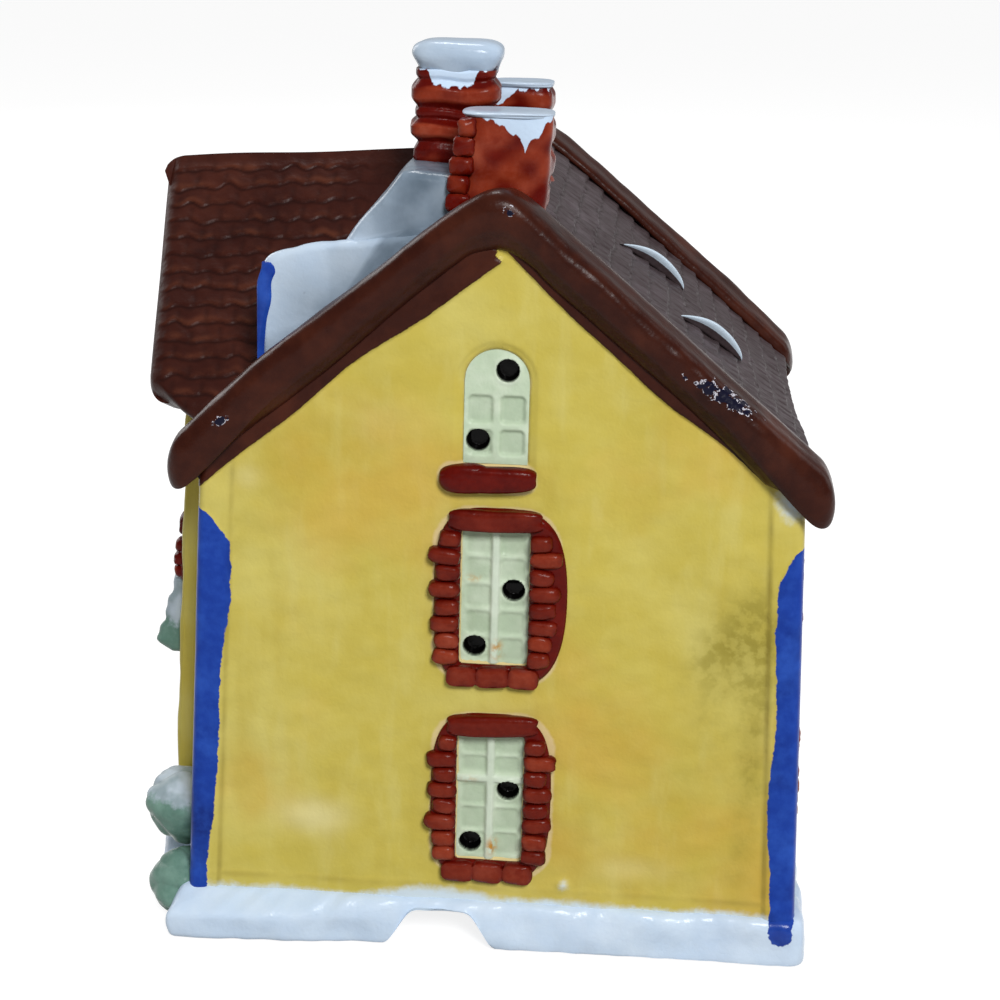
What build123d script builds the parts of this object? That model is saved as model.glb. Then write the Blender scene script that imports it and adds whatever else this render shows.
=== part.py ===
"""A glazed ceramic village house: a gabled block with a cross wing, three chimneys and a clip-in lamp."""

import os
from collections import namedtuple
from math import atan2, cos, radians, sin, tan

from build123d import *

os.makedirs("parts", exist_ok=True)

# Lengths are in millimetres and angles in degrees. Z is up, the near gable faces -Y, the wing faces -X.
# Heights are measured from the table, and x places from the ridge of the main roof.

# General
overrun = 20.0
joint_gap = 0.1
wall_thickness = 4.0

# Main block
wall_depth = 98.6
eave_half_width = 50.0
wall_batter = 3.5
base_height = 8.5

# Main roof
roof_pitch = 40.1
ridge_height = 131.4
roof_thickness = 4.0
eave_overhang = 3.0
tile_butt = 0.7
main_courses = 16

# Verges: a rounded roll with a thinner board under it
verge_rise = 2.4
verge_end_lap = 0.8
roll_height = 4.8
board_height = 8.3
verge_proud = 4.0
verge_lap = 8.0
board_proud = 2.2
roll_round = 1.5

# Wing, a cross gable in the middle of the left side
wing_half_width = 30.0
wing_projection = 7.2
wing_pitch = 46.5
wing_droop = 2.6
wing_ridge_rise = 1.4
wing_overhang = 4.6
wing_eave_overhang = 4.4
wing_verge_slant = 4.0
wing_courses = 12
wing_board_height = 6.0
wing_board_proud = 1.6

# Snow base and floor
base_proud = 2.5
base_ledge = 3.0
base_corner = 3.5
base_round = 1.8
notch_foot_width = 21.0
notch_top_width = 9.4
notch_height = 7.0
notch_x = -9.8
notch_round = 2.2
floor_thickness = 3.0
floor_clearance = 0.3

# Blue corner strips
strip_width = 6.0
strip_proud = 0.8
strip_drop = 6.6

# Windows and brickwork
pane_recess = 0.8
pane_thickness = 2.6
bar_width = 1.1
bar_proud = 0.6
light_hole = 3.5
brick_proud = 2.2
bed_proud = 1.3
brick_gap = 0.5
brick_round = 0.5
side_width = 5.0
lintel_height = 4.0
side_rows = 6
heap_rows = 3
short_share = 0.72
gable_window_width = 11.4
gable_floor_gap = 5.0
gable_window_x = -0.3
gable_floor_shares = (0.168, 0.48, 0.759)
attic_window_width = 10.6
attic_gap = 2.5
attic_window_x = -0.8
sill_width = 15.9
sill_height = 5.2
sill_proud = 2.4
sill_x = -2.0
sill_drop = 2.3
sill_round = 1.0

# Right wall windows, in two floors
right_window_width = 10.6
right_floor_gap = 4.7
right_window_y = 21.0
right_floor_shares = (0.262, 0.695)

# Wing front: two windows with snowy boxes, the door between them
wing_window_width = 9.6
wing_window_height = 14.0
wing_window_y = 17.2
wing_floor_share = 0.65
box_width = 17.0
box_height = 15.2
box_reach = 4.9
box_drop = 0.4
box_clearance = 2.3
box_top_reach = 2.4
box_lip = 2.6
box_round = 1.2
door_width = 12.0
door_recess = 0.9
door_thickness = 2.6
door_panel = 0.5
knob_radius = 0.9
step_width = 19.0
step_depth = 2.3
step_height = 2.2
step_round = 0.8

# Dormer and snow drift between the near verge and the wing
dormer_reach = 41.4
dormer_face_height = 17.1
dormer_shoulder_width = 3.8
dormer_shoulder_rise = 3.8
dormer_width = 15.0
dormer_back_rise = 6.2
dormer_near_y = 9.0
dormer_far_y = 38.0
dormer_sink = 12.4
trim_thickness = 0.9
trim_width = 2.6
dormer_window_width = 7.0
dormer_window_height = 9.0
dormer_window_rise = 9.0
dormer_window_y = 15.5
dormer_pane_proud = 0.8
drift_top_x = 18.4
drift_rise = 2.0
drift_right_x = 2.6
drift_near_y = 9.0
drift_far_y = 44.0

# Chimneys
stack_corner = 1.6
course_round = 1.2
course_step = 0.7
cap_overhang = 0.3
cap_round = 1.7
front_width = 15.0
front_depth = 11.5
front_x = -2.0
front_y = 14.8
front_rise = 10.6
front_cap = 3.0
left_width = 14.4
left_depth = 11.5
left_x = -10.4
left_y = 29.0
left_rise = 17.0
left_cap = 5.6
rear_width = 11.6
rear_depth = 11.0
rear_x = -1.0
rear_y = 50.4
rear_rise = 11.8
rear_cap = 3.2
stack_courses = 4

# Eyebrow humps on the right slope
eyebrow_chord = 15.6
eyebrow_rise = 3.0
eyebrow_depth = 6.0
upper_eyebrow_x = 23.6
upper_eyebrow_y = 55.0
lower_eyebrow_x = 34.4
lower_eyebrow_y = 36.5

# Bushes, as clusters of round lumps: shares of the bush radius
tall_bush_radius = 7.4
tall_bush_out = 3.7
tall_bush_gap = 7.1
tall_bush_z = 15.6
low_bush_radius = 6.6
low_bush_out = 1.1
bush_spacing = 8.0
low_bush_z = 7.0
bush_lift = 0.4
lump_shares = (
    (0.0, 0.0, 0.0, 0.86),
    (-0.34, -0.3, 0.34, 0.58),
    (-0.36, 0.36, -0.2, 0.6),
    (0.1, 0.1, 0.62, 0.52),
)

# Lamp: what ends in rise is measured from the flange's top, which meets the floor plate
lamp_hole_radius = 14.2
flange_radius = 18.0
flange_thickness = 2.0
cup_radius = 12.0
cup_foot = 1.8
cord_hole_radius = 3.2
barrel_radius = 9.5
barrel_top_rise = 21.5
socket_radius = 6.2
socket_foot_rise = 2.5
clip_thickness = 0.6
clip_width = 6.0
clip_reach = 13.9
clip_foot_rise = 0.7
clip_knee_rise = 4.5
clip_top_rise = 15.5
cap_radius = 6.1
cap_foot_rise = 4.0
cap_top_rise = 20.0
cap_wall = 0.7
cap_floor = 1.5
contact_radius = 2.6
contact_height = 1.2
glass_neck_radius = 6.0
glass_radius = 10.8
glass_belly_rise = 35.5
glass_tip_rise = 58.5
glass_wall = 0.9
stem_radius = 1.8
stem_top_rise = 33.5
filament_radius = 0.9
filament_reach = 4.0

# Derived places
half_depth = wall_depth / 2
foot_half_width = eave_half_width + wall_batter
roof_half_span = eave_half_width + eave_overhang
verge_half_span = roof_half_span + verge_end_lap
wing_foot_reach = foot_half_width + wing_projection
wing_roof_reach = wing_foot_reach + wing_overhang
wing_half_span = wing_half_width + wing_eave_overhang
tall_bush_x = -foot_half_width - tall_bush_out
low_bush_x = -foot_half_width - low_bush_out
tall_bush_y = half_depth - wing_half_width - tall_bush_gap
low_bush_y = tall_bush_y - bush_spacing
base_reach = foot_half_width + base_proud
ridge_x = (wing_roof_reach - base_reach) / 2
pitch = radians(roof_pitch)
slope = tan(pitch)
under_ridge = ridge_height - roof_thickness / cos(pitch)
eave_z = under_ridge - slope * eave_half_width
lean = (foot_half_width - eave_half_width) / (eave_z - base_height)
lean_angle = atan2(lean, 1)
tile_top = ridge_height + tile_butt / cos(pitch)
verge_top = ridge_height + verge_rise
side_half_depth = half_depth - wall_thickness
wing_angle = radians(wing_pitch)
droop = radians(wing_droop)
wing_run = wing_roof_reach / cos(droop)
sky = verge_top + overrun
window_depth = wall_thickness + overrun
wing_ridge_height = ridge_height + wing_ridge_rise
strip_top = eave_z - strip_drop
front_top = ridge_height + front_rise
left_top = ridge_height + left_rise
rear_top = ridge_height + rear_rise
drift_top_z = ridge_height + drift_rise
dormer_shoulder_x = dormer_reach - dormer_shoulder_width
dormer_back_x = dormer_reach - dormer_width
dormer_slope_z = tile_top - slope * dormer_reach
dormer_corner_z = dormer_slope_z + dormer_face_height
dormer_shoulder_z = dormer_corner_z + dormer_shoulder_rise
dormer_back_z = dormer_corner_z + dormer_back_rise
dormer_foot_z = dormer_slope_z - dormer_sink
dormer_window_z = dormer_slope_z + dormer_window_rise
flange_top = base_height
barrel_top = flange_top + barrel_top_rise
socket_foot = flange_top + socket_foot_rise
clip_foot = flange_top + clip_foot_rise
clip_knee = flange_top + clip_knee_rise
clip_top = flange_top + clip_top_rise
cap_foot = flange_top + cap_foot_rise
cap_top = flange_top + cap_top_rise
glass_belly_z = flange_top + glass_belly_rise
glass_tip_z = flange_top + glass_tip_rise
stem_top = flange_top + stem_top_rise

# Window heights fill what the floors leave between lintels and sills
gable_rise = under_ridge - base_height
eave_rise = eave_z - base_height
lower_window_z, middle_window_z, attic_window_z = (base_height + s * gable_rise for s in gable_floor_shares)
right_lower_z, right_upper_z = (base_height + s * eave_rise for s in right_floor_shares)
gable_window_height = middle_window_z - lower_window_z - 2 * lintel_height - gable_floor_gap
right_window_height = right_upper_z - right_lower_z - 2 * lintel_height - right_floor_gap
sill_foot_z = middle_window_z + gable_window_height / 2 + lintel_height + attic_gap
attic_foot_z = sill_foot_z + sill_height / 2 + sill_drop
attic_window_height = 2 * (attic_window_z - attic_foot_z)
wing_window_z = base_height + wing_floor_share * eave_rise
box_top = wing_window_z - box_drop
door_foot = base_height + step_height
door_height = box_top - box_height - box_clearance - lintel_height - door_foot

Window = namedtuple("Window", "width height x z arched holes")
gable_hole_shares = ((0.27, 0.05), (-0.29, -0.38))
attic_hole_shares = ((0.16, 0.32), (-0.3, -0.3))
attic_window = Window(
    attic_window_width, attic_window_height, attic_window_x, attic_window_z, True, attic_hole_shares
)
middle_window = Window(
    gable_window_width, gable_window_height, gable_window_x, middle_window_z, False, gable_hole_shares
)
lower_window = Window(
    gable_window_width, gable_window_height, gable_window_x, lower_window_z, False, gable_hole_shares
)
gable_windows = (attic_window, middle_window, lower_window)


def wall_reach(foot, z):
    """Distance of a leaning side wall's outer face from the ridge line at height z."""
    return foot - lean * (z - base_height)


def keep(solid, label):
    """Label a finished piece and write it out."""
    solid.label = label
    export_step(solid, f"parts/{label}.step")


def near_plane(x, z):
    """A plane on the near gable's face, its x to the right as seen from outside."""
    return Plane(origin=(ridge_x + x, -half_depth, z), x_dir=(1, 0, 0), z_dir=(0, -1, 0))


def far_plane(x, z):
    """A plane on the far gable's face, its x to the right as seen from outside."""
    return Plane(origin=(ridge_x - x, half_depth, z), x_dir=(-1, 0, 0), z_dir=(0, 1, 0))


def right_plane(y, z):
    """A plane on the leaning right wall's face."""
    x = ridge_x + wall_reach(foot_half_width, z)
    return Plane(origin=(x, y, z), x_dir=(0, 1, 0), z_dir=(cos(lean_angle), 0, sin(lean_angle)))


def front_plane(y, z):
    """A plane on the leaning front wall of the wing."""
    x = ridge_x - wall_reach(wing_foot_reach, z)
    return Plane(origin=(x, y, z), x_dir=(0, -1, 0), z_dir=(-cos(lean_angle), 0, sin(lean_angle)))


def section_plane(y):
    """An upright cross plane of the main block at depth y behind the near gable, its x from the ridge."""
    return Plane(origin=(ridge_x, y - half_depth, 0), x_dir=(1, 0, 0), z_dir=(0, -1, 0))


def outline(*points):
    """Draw a closed straight-sided face in the current sketch."""
    with BuildLine() as sides:
        Polyline(*points, close=True)
    make_face(sides.edges())


def chevron(top, reach, height):
    """Draw an inverted V band of the main pitch, its ends square to the slope."""
    tip = top - slope * reach
    inner_x = reach - sin(pitch) * height
    inner_z = tip - cos(pitch) * height
    low = top - height / cos(pitch)
    outline((0, top), (reach, tip), (inner_x, inner_z), (0, low), (-inner_x, inner_z), (-reach, tip))


def roof_prism(top, near, far):
    """All the space under a gable line of the main pitch, between two depths."""
    reach = foot_half_width + overrun
    edge = top - slope * reach
    with BuildPart() as prism:
        with BuildSketch(section_plane(near)):
            outline((0, top), (reach, edge), (reach, 0), (-reach, 0), (-reach, edge))
        extrude(amount=near - far)
    return prism.part


def wing_frame():
    """The plane across the wing roof at the main ridge, facing out along the drooping wing ridge."""
    return Plane(
        origin=(ridge_x, 0, wing_ridge_height), x_dir=(0, -1, 0), z_dir=(-cos(droop), 0, -sin(droop))
    )


def wing_prism(drop):
    """All the space under the wing roof's surface lowered by drop, square to the slope."""
    low = drop / cos(wing_angle)
    reach = wing_half_span + overrun
    edge = low + reach * tan(wing_angle)
    with BuildPart() as prism:
        with BuildSketch(wing_frame()):
            outline((0, -low), (reach, -edge), (reach, -sky), (-reach, -sky), (-reach, -edge))
        extrude(amount=wing_run + overrun)
    return prism.part


def tile_profile(length, angle, courses):
    """Draw a roof slab along its slope: stepped tile courses on top, a mitre at the ridge."""
    course = length / courses
    steps = []
    for i in range(courses):
        steps += [(i * course, 0), ((i + 1) * course, tile_butt)]
    outline(*steps, (length, -roof_thickness), (roof_thickness * tan(angle), -roof_thickness))


def window_shape(width, height, arched, grow):
    """Draw a window outline about its middle, grown all round."""
    if arched:
        with Locations((0, -width / 4)):
            Rectangle(width + 2 * grow, height - width / 2 + 2 * grow)
        with Locations((0, (height - width) / 2)):
            Circle(width / 2 + grow)
    else:
        Rectangle(width + 2 * grow, height + 2 * grow)


def window_panel(face, window, rows):
    """A pale pane with raised glazing bars and two light holes through it."""
    with BuildPart() as panel:
        with BuildSketch(face.offset(-pane_recess)):
            window_shape(window.width, window.height, window.arched, 0)
        extrude(amount=-pane_thickness)
        with BuildSketch(face.offset(-pane_recess)):
            Rectangle(bar_width, window.height)
            with GridLocations(0, window.height / rows, 1, rows - 1):
                Rectangle(window.width, bar_width)
        extrude(amount=bar_proud)
        with BuildSketch(face):
            with Locations(*[(u * window.width, v * window.height) for u, v in window.holes]):
                Circle(light_hole / 2)
        extrude(amount=-window_depth, mode=Mode.SUBTRACT)
    return panel.part


def brick_surround(face, width, height, rows, sill):
    """Long and short bricks round an opening, on a thin bed; without a sill the ring stops at the foot."""
    foot = lintel_height if sill else 0
    tall = height + lintel_height + foot
    rise = (lintel_height - foot) / 2
    row = height / rows
    long_brick = side_width
    short_brick = side_width * short_share
    with BuildPart() as ring:
        with BuildSketch(face):
            with Locations((0, rise)):
                Rectangle(width + 2 * short_brick, tall)
            if not sill:
                with Locations((0, -height / 2)):
                    Rectangle(width + 2 * joint_gap, height, mode=Mode.SUBTRACT)
            Rectangle(width + 2 * joint_gap, height + 2 * joint_gap, mode=Mode.SUBTRACT)
        extrude(amount=bed_proud)
        with BuildSketch(face):
            for i in range(rows):
                brick = long_brick if i % 2 == 0 else short_brick
                y = (i + 0.5) * row - height / 2
                for side in (-1, 1):
                    with Locations((side * (width + brick + 2 * joint_gap) / 2, y)):
                        Rectangle(brick, row - brick_gap)
            ends = (1, -1) if sill else (1,)
            for end in ends:
                with Locations((0, end * (height + lintel_height + brick_gap) / 2)):
                    Rectangle(width + 2 * short_brick, lintel_height - brick_gap)
        extrude(amount=brick_proud)
        tops = ring.faces().group_by(Axis(face.origin, face.z_dir))[-1]
        fillet(tops.edges(), radius=brick_round)
    return ring.part


def sill_bar(face):
    """A rounded brick sill under an attic window."""
    with BuildPart() as bar:
        with BuildSketch(face):
            RectangleRounded(sill_width, sill_height, sill_round)
        extrude(amount=sill_proud)
        fillet(bar.faces().sort_by(Axis(face.origin, face.z_dir))[-1].edges(), radius=sill_round)
    return bar.part


def gable_wall(face):
    """A gable wall with its three window openings, on a plane at the foot of its middle line."""
    with BuildPart() as wall:
        with BuildSketch(face):
            outline(
                (-foot_half_width, base_height),
                (foot_half_width, base_height),
                (eave_half_width, eave_z),
                (0, under_ridge),
                (-eave_half_width, eave_z),
            )
        extrude(amount=-wall_thickness)
        for window in gable_windows:
            with BuildSketch(face.shift_origin(face.from_local_coords(Vector(window.x, window.z, 0)))):
                window_shape(window.width, window.height, window.arched, joint_gap)
            extrude(amount=-window_depth, mode=Mode.SUBTRACT)
    return wall.part


def leaning_wall(foot, side, near, far):
    """A side wall leaning in from its foot, between two y places, high enough to be trimmed by a roof."""
    low = foot
    high = wall_reach(foot, sky)
    with BuildPart() as wall:
        with BuildSketch(Plane(origin=(ridge_x, near, 0), x_dir=(1, 0, 0), z_dir=(0, -1, 0))):
            outline(
                (side * low, base_height),
                (side * (low - wall_thickness), base_height),
                (side * (high - wall_thickness), sky),
                (side * high, sky),
            )
        extrude(amount=near - far)
    return wall.part


def verge(face):
    """A rounded roll over the roof's end with a thinner board below it, both along the gable."""
    with BuildPart() as trim:
        with BuildSketch(face.offset(verge_proud)):
            chevron(verge_top, verge_half_span, roll_height)
        extrude(amount=-(verge_proud + verge_lap))
        ends = trim.faces().filter_by(Axis.Y)
        fillet(ends.edges(), radius=roll_round)
        with BuildSketch(face):
            top = tile_top
            reach = foot_half_width + overrun
            edge = top - slope * reach
            outline((0, top), (reach, edge), (reach, 0), (-reach, 0), (-reach, edge))
        extrude(amount=-window_depth, mode=Mode.SUBTRACT)
        with BuildSketch(face):
            low_board = board_height - roll_round * cos(pitch)
            chevron(verge_top - roll_round, verge_half_span - roll_round, low_board)
        extrude(amount=board_proud)
    return trim.part


def course_block(x, y, z, width, depth, height):
    """One bulging brick course of a chimney."""
    with BuildPart() as block:
        with BuildSketch(Plane(origin=(ridge_x + x, y - half_depth, z))):
            RectangleRounded(width, depth, stack_corner)
        extrude(amount=height)
        fillet(block.faces().filter_by(Axis.Z).edges(), radius=course_round)
    return block.part


def chimney(x, y, foot, top, width, depth):
    """A stack of wide and narrow brick courses on a plain core."""
    height = (top - foot) / stack_courses
    core_width = width - 4 * course_step
    with BuildPart() as stack:
        with BuildSketch(Plane(origin=(ridge_x + x, y - half_depth, foot))):
            RectangleRounded(core_width, depth - 4 * course_step, stack_corner)
        extrude(amount=top - foot)
        for i in range(stack_courses):
            inset = course_step * (i % 2)
            add(course_block(x, y, foot + i * height, width - 2 * inset, depth - 2 * inset, height))
    return stack.part


def snow_cap(x, y, foot, width, depth, height):
    """A rounded slab of snow on a chimney."""
    with BuildPart() as cap:
        with BuildSketch(Plane(origin=(ridge_x + x, y - half_depth, foot))):
            corner = stack_corner + cap_overhang
            RectangleRounded(width + 2 * cap_overhang, depth + 2 * cap_overhang, corner)
        extrude(amount=height)
        fillet(cap.faces().sort_by(Axis.Z)[-1].edges(), radius=min(cap_round, height / 2))
    return cap.part


def eyebrow(x, y):
    """A low arched hump on the right slope, its flat face to the near gable."""
    foot = tile_butt
    origin = (ridge_x + x + foot * sin(pitch), y - half_depth, ridge_height - slope * x + foot * cos(pitch))
    face = Plane(origin=origin, x_dir=(cos(pitch), 0, -sin(pitch)), z_dir=(0, -1, 0))
    half = eyebrow_chord / 2
    with BuildPart() as hump:
        with BuildSketch(face):
            with BuildLine():
                ThreePointArc((-half, 0), (0, eyebrow_rise), (half, 0))
                Line((half, 0), (-half, 0))
            make_face()
        extrude(amount=-eyebrow_depth)
    return hump.part


def bush(x, y, z, radius):
    """A cluster of fused round lumps."""
    with BuildPart() as lumps:
        for u, v, w, r in lump_shares:
            with Locations((ridge_x + x + u * radius, y - half_depth + v * radius, z + w * radius)):
                Sphere(r * radius)
    return lumps.part


def base_plan(grow):
    """Draw the plan of the main block and the wing at their feet, grown all round."""
    width = foot_half_width + grow
    with Locations((ridge_x, 0)):
        Rectangle(2 * width, wall_depth + 2 * grow)
    reach = wing_foot_reach + grow
    with Locations((ridge_x - reach / 2, 0)):
        Rectangle(reach, 2 * (wing_half_width + grow))


# Snow base: a rim under the walls with a ledge for the floor and a notch for the lamp cord
with BuildPart() as snow_base:
    with BuildSketch() as rim:
        base_plan(base_proud)
        fillet(rim.vertices(), radius=base_corner)
    extrude(amount=base_height)
    fillet(snow_base.faces().sort_by(Axis.Z)[-1].edges(), radius=base_round)
    with BuildSketch() as hollow:
        base_plan(-wall_thickness - base_ledge)
    extrude(amount=base_height, mode=Mode.SUBTRACT)
    with BuildSketch(section_plane(-base_proud - overrun)) as notch:
        half_foot = notch_foot_width / 2
        half_top = notch_top_width / 2
        outline(
            (notch_x - half_foot, 0),
            (notch_x + half_foot, 0),
            (notch_x + half_top, notch_height),
            (notch_x - half_top, notch_height),
        )
        fillet(notch.vertices().sort_by(Axis.Y)[-2:], radius=notch_round)
    extrude(amount=-(overrun + base_proud + wall_thickness + base_ledge + overrun), mode=Mode.SUBTRACT)
keep(snow_base.part, "snow_base")

# Floor plate on the base ledge, inside the walls, with the lamp hole
with BuildPart() as floor_plate:
    with BuildSketch(Plane.XY.offset(base_height)):
        base_plan(-wall_thickness - floor_clearance)
    extrude(amount=floor_thickness)
    with BuildSketch(Plane.XY.offset(base_height)):
        with Locations((ridge_x, 0)):
            Circle(lamp_hole_radius)
    extrude(amount=floor_thickness, mode=Mode.SUBTRACT)
keep(floor_plate.part, "floor_plate")

# Walls
keep(gable_wall(near_plane(0, 0)), "near_gable_wall")
keep(gable_wall(far_plane(0, 0)), "far_gable_wall")

right_window = Window(right_window_width, right_window_height, 0, 0, False, gable_hole_shares)
right_places = [(y, z) for z in (right_lower_z, right_upper_z) for y in (-right_window_y, right_window_y)]
under_main = roof_prism(under_ridge, 0, wall_depth)
with BuildPart() as right_wall:
    add(leaning_wall(foot_half_width, 1, -side_half_depth, side_half_depth))
    add(under_main, mode=Mode.INTERSECT)
    for y, z in right_places:
        with BuildSketch(right_plane(y, z)):
            window_shape(right_window.width, right_window.height, False, joint_gap)
        extrude(amount=-window_depth, mode=Mode.SUBTRACT)
keep(right_wall.part, "right_wall")

with BuildPart() as left_wall_near:
    add(leaning_wall(foot_half_width, -1, -side_half_depth, -wing_half_width))
    add(under_main, mode=Mode.INTERSECT)
keep(left_wall_near.part, "left_wall_near")
with BuildPart() as left_wall_far:
    add(leaning_wall(foot_half_width, -1, wing_half_width, side_half_depth))
    add(under_main, mode=Mode.INTERSECT)
keep(left_wall_far.part, "left_wall_far")

# Wing walls
under_wing = wing_prism(roof_thickness)
wing_window = Window(wing_window_width, wing_window_height, 0, 0, False, gable_hole_shares)
wing_places = [(-wing_window_y, wing_window_z), (wing_window_y, wing_window_z)]
door_z = door_foot + door_height / 2
with BuildPart() as wing_front_wall:
    add(leaning_wall(wing_foot_reach, -1, -wing_half_width, wing_half_width))
    add(under_wing, mode=Mode.INTERSECT)
    for y, z in wing_places:
        with BuildSketch(front_plane(y, z)):
            window_shape(wing_window.width, wing_window.height, False, joint_gap)
        extrude(amount=-window_depth, mode=Mode.SUBTRACT)
    with BuildSketch(front_plane(0, door_z)):
        Rectangle(door_width + 2 * joint_gap, door_height + 2 * joint_gap)
    extrude(amount=-window_depth, mode=Mode.SUBTRACT)
keep(wing_front_wall.part, "wing_front_wall")


def wing_side(near):
    """A short side wall of the wing, from the front wall's back to the main wall's inner face."""
    inner = wall_reach(wing_foot_reach, sky) - wall_thickness
    back = wall_reach(foot_half_width, sky) - wall_thickness
    with BuildPart() as side:
        with BuildSketch(Plane(origin=(ridge_x, near, 0), x_dir=(1, 0, 0), z_dir=(0, -1, 0))):
            outline(
                (wall_thickness - wing_foot_reach, base_height),
                (wall_thickness - foot_half_width, base_height),
                (-back, sky),
                (-inner, sky),
            )
        extrude(amount=-wall_thickness)
        add(under_wing, mode=Mode.INTERSECT)
    return side.part


keep(wing_side(-wing_half_width), "wing_near_wall")
keep(wing_side(wing_half_width - wall_thickness), "wing_far_wall")

# Main roof: two tiled slabs, the left one cut back where the wing walls stand
roof_length = roof_half_span / cos(pitch)
with BuildPart() as main_roof_right:
    right_slope = Plane(
        origin=(ridge_x, -half_depth, ridge_height), x_dir=(cos(pitch), 0, -sin(pitch)), z_dir=(0, -1, 0)
    )
    with BuildSketch(right_slope):
        tile_profile(roof_length, pitch, main_courses)
    extrude(amount=-wall_depth)
keep(main_roof_right.part, "main_roof_right")

with BuildPart() as main_roof_left:
    mirror(main_roof_right.part, about=Plane.YZ.offset(ridge_x))
    with BuildSketch(section_plane(half_depth - wing_half_width - joint_gap)):
        inner_low = wall_thickness + joint_gap - foot_half_width
        inner_high = wall_thickness + joint_gap - wall_reach(foot_half_width, sky)
        outer = foot_half_width + overrun
        outline((inner_low, base_height), (inner_high, sky), (-outer, sky), (-outer, base_height))
    extrude(amount=-2 * (wing_half_width + joint_gap), mode=Mode.SUBTRACT)
keep(main_roof_left.part, "main_roof_left")

# Wing roof: two slabs trimmed against the main roof, their outer ends slanting in toward the eaves
main_block = roof_prism(tile_top, -verge_proud, wall_depth + verge_proud)
with BuildPart() as wing_roof_near:
    down = Vector(0, -cos(wing_angle), 0) + Vector(sin(droop), 0, -cos(droop)) * sin(wing_angle)
    slab = Plane(
        origin=(ridge_x, 0, wing_ridge_height), x_dir=down, z_dir=(-cos(droop), 0, -sin(droop))
    )
    with BuildSketch(slab):
        tile_profile(wing_half_span / cos(wing_angle), wing_angle, wing_courses)
    extrude(amount=wing_run + overrun)
    add(main_block, mode=Mode.SUBTRACT)
    with BuildSketch():
        inner = ridge_x - wing_roof_reach + wing_verge_slant
        outline(
            (ridge_x, 0),
            (ridge_x - wing_roof_reach, 0),
            (inner, -wing_half_span),
            (inner, -wing_half_span - overrun),
            (ridge_x, -wing_half_span - overrun),
        )
    extrude(amount=sky + overrun, mode=Mode.INTERSECT)
keep(wing_roof_near.part, "wing_roof_near")
with BuildPart() as wing_roof_far:
    mirror(wing_roof_near.part, about=Plane.XZ)
keep(wing_roof_far.part, "wing_roof_far")

# Verges
keep(verge(near_plane(0, 0)), "near_verge")
keep(verge(far_plane(0, 0)), "far_verge")

with BuildPart() as wing_verge:
    add(leaning_wall(wing_foot_reach + wing_board_proud, -1, -wing_half_width, wing_half_width))
    add(leaning_wall(wing_foot_reach, -1, -wing_half_width, wing_half_width), mode=Mode.SUBTRACT)
    add(under_wing, mode=Mode.INTERSECT)
    add(wing_prism(roof_thickness + wing_board_height), mode=Mode.SUBTRACT)
keep(wing_verge.part, "wing_verge")

# Blue strips on the corners of both gables
with BuildPart() as corner_strips:
    for face in (near_plane(0, 0), far_plane(0, 0)):
        with BuildSketch(face):
            for side in (-1, 1):
                top = wall_reach(foot_half_width, strip_top)
                outline(
                    (side * foot_half_width, base_height),
                    (side * (foot_half_width - strip_width), base_height),
                    (side * (top - strip_width), strip_top),
                    (side * top, strip_top),
                )
        extrude(amount=strip_proud)
keep(corner_strips.part, "corner_strips")

# Chimneys and their snow caps
wing_block = wing_prism(-tile_butt)
front_foot = tile_top - slope * front_width / 2
rear_foot = tile_top - slope * rear_width / 2
with BuildPart() as chimney_front:
    add(chimney(front_x, front_y, front_foot, front_top, front_width, front_depth))
    add(main_block, mode=Mode.SUBTRACT)
keep(chimney_front.part, "chimney_front")
with BuildPart() as chimney_left:
    add(chimney(left_x, left_y, drift_top_z, left_top, left_width, left_depth))
keep(chimney_left.part, "chimney_left")
with BuildPart() as chimney_rear:
    add(chimney(rear_x, rear_y, rear_foot, rear_top, rear_width, rear_depth))
    add(main_block, mode=Mode.SUBTRACT)
    add(wing_block, mode=Mode.SUBTRACT)
keep(chimney_rear.part, "chimney_rear")
keep(snow_cap(front_x, front_y, front_top, front_width, front_depth, front_cap), "front_cap")
keep(snow_cap(left_x, left_y, left_top, left_width, left_depth, left_cap), "left_cap")
keep(snow_cap(rear_x, rear_y, rear_top, rear_width, rear_depth, rear_cap), "rear_cap")

# Dormer behind the near verge, its face toward the front of the house
with BuildPart() as dormer_body:
    with BuildSketch(section_plane(dormer_near_y)):
        outline(
            (-dormer_reach, dormer_foot_z),
            (-dormer_reach, dormer_corner_z),
            (-dormer_shoulder_x, dormer_shoulder_z),
            (-dormer_back_x, dormer_back_z),
            (-dormer_back_x, dormer_foot_z),
        )
    extrude(amount=dormer_near_y - dormer_far_y)
    add(main_block, mode=Mode.SUBTRACT)
    add(wing_block, mode=Mode.SUBTRACT)
keep(dormer_body.part, "dormer_body")

dormer_face = Plane(origin=(ridge_x - dormer_reach, -half_depth, 0), x_dir=(0, -1, 0), z_dir=(-1, 0, 0))
with BuildPart() as dormer_trim:
    with BuildSketch(dormer_face):
        trim_middle = (dormer_slope_z + tile_butt + dormer_corner_z) / 2
        with Locations((-dormer_near_y - trim_width / 2, trim_middle)):
            Rectangle(trim_width, dormer_corner_z - dormer_slope_z - tile_butt)
    extrude(amount=trim_thickness)
    add(main_block, mode=Mode.SUBTRACT)
keep(dormer_trim.part, "dormer_trim")

with BuildPart() as dormer_window:
    with BuildSketch(dormer_face):
        with Locations((-dormer_window_y, dormer_window_z)):
            Rectangle(dormer_window_width, dormer_window_height)
    extrude(amount=dormer_pane_proud)
    with BuildSketch(dormer_face):
        with Locations((-dormer_window_y, dormer_window_z)):
            Rectangle(bar_width, dormer_window_height)
            Rectangle(dormer_window_width, bar_width)
    extrude(amount=dormer_pane_proud + bar_proud)
keep(dormer_window.part, "dormer_window")

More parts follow.
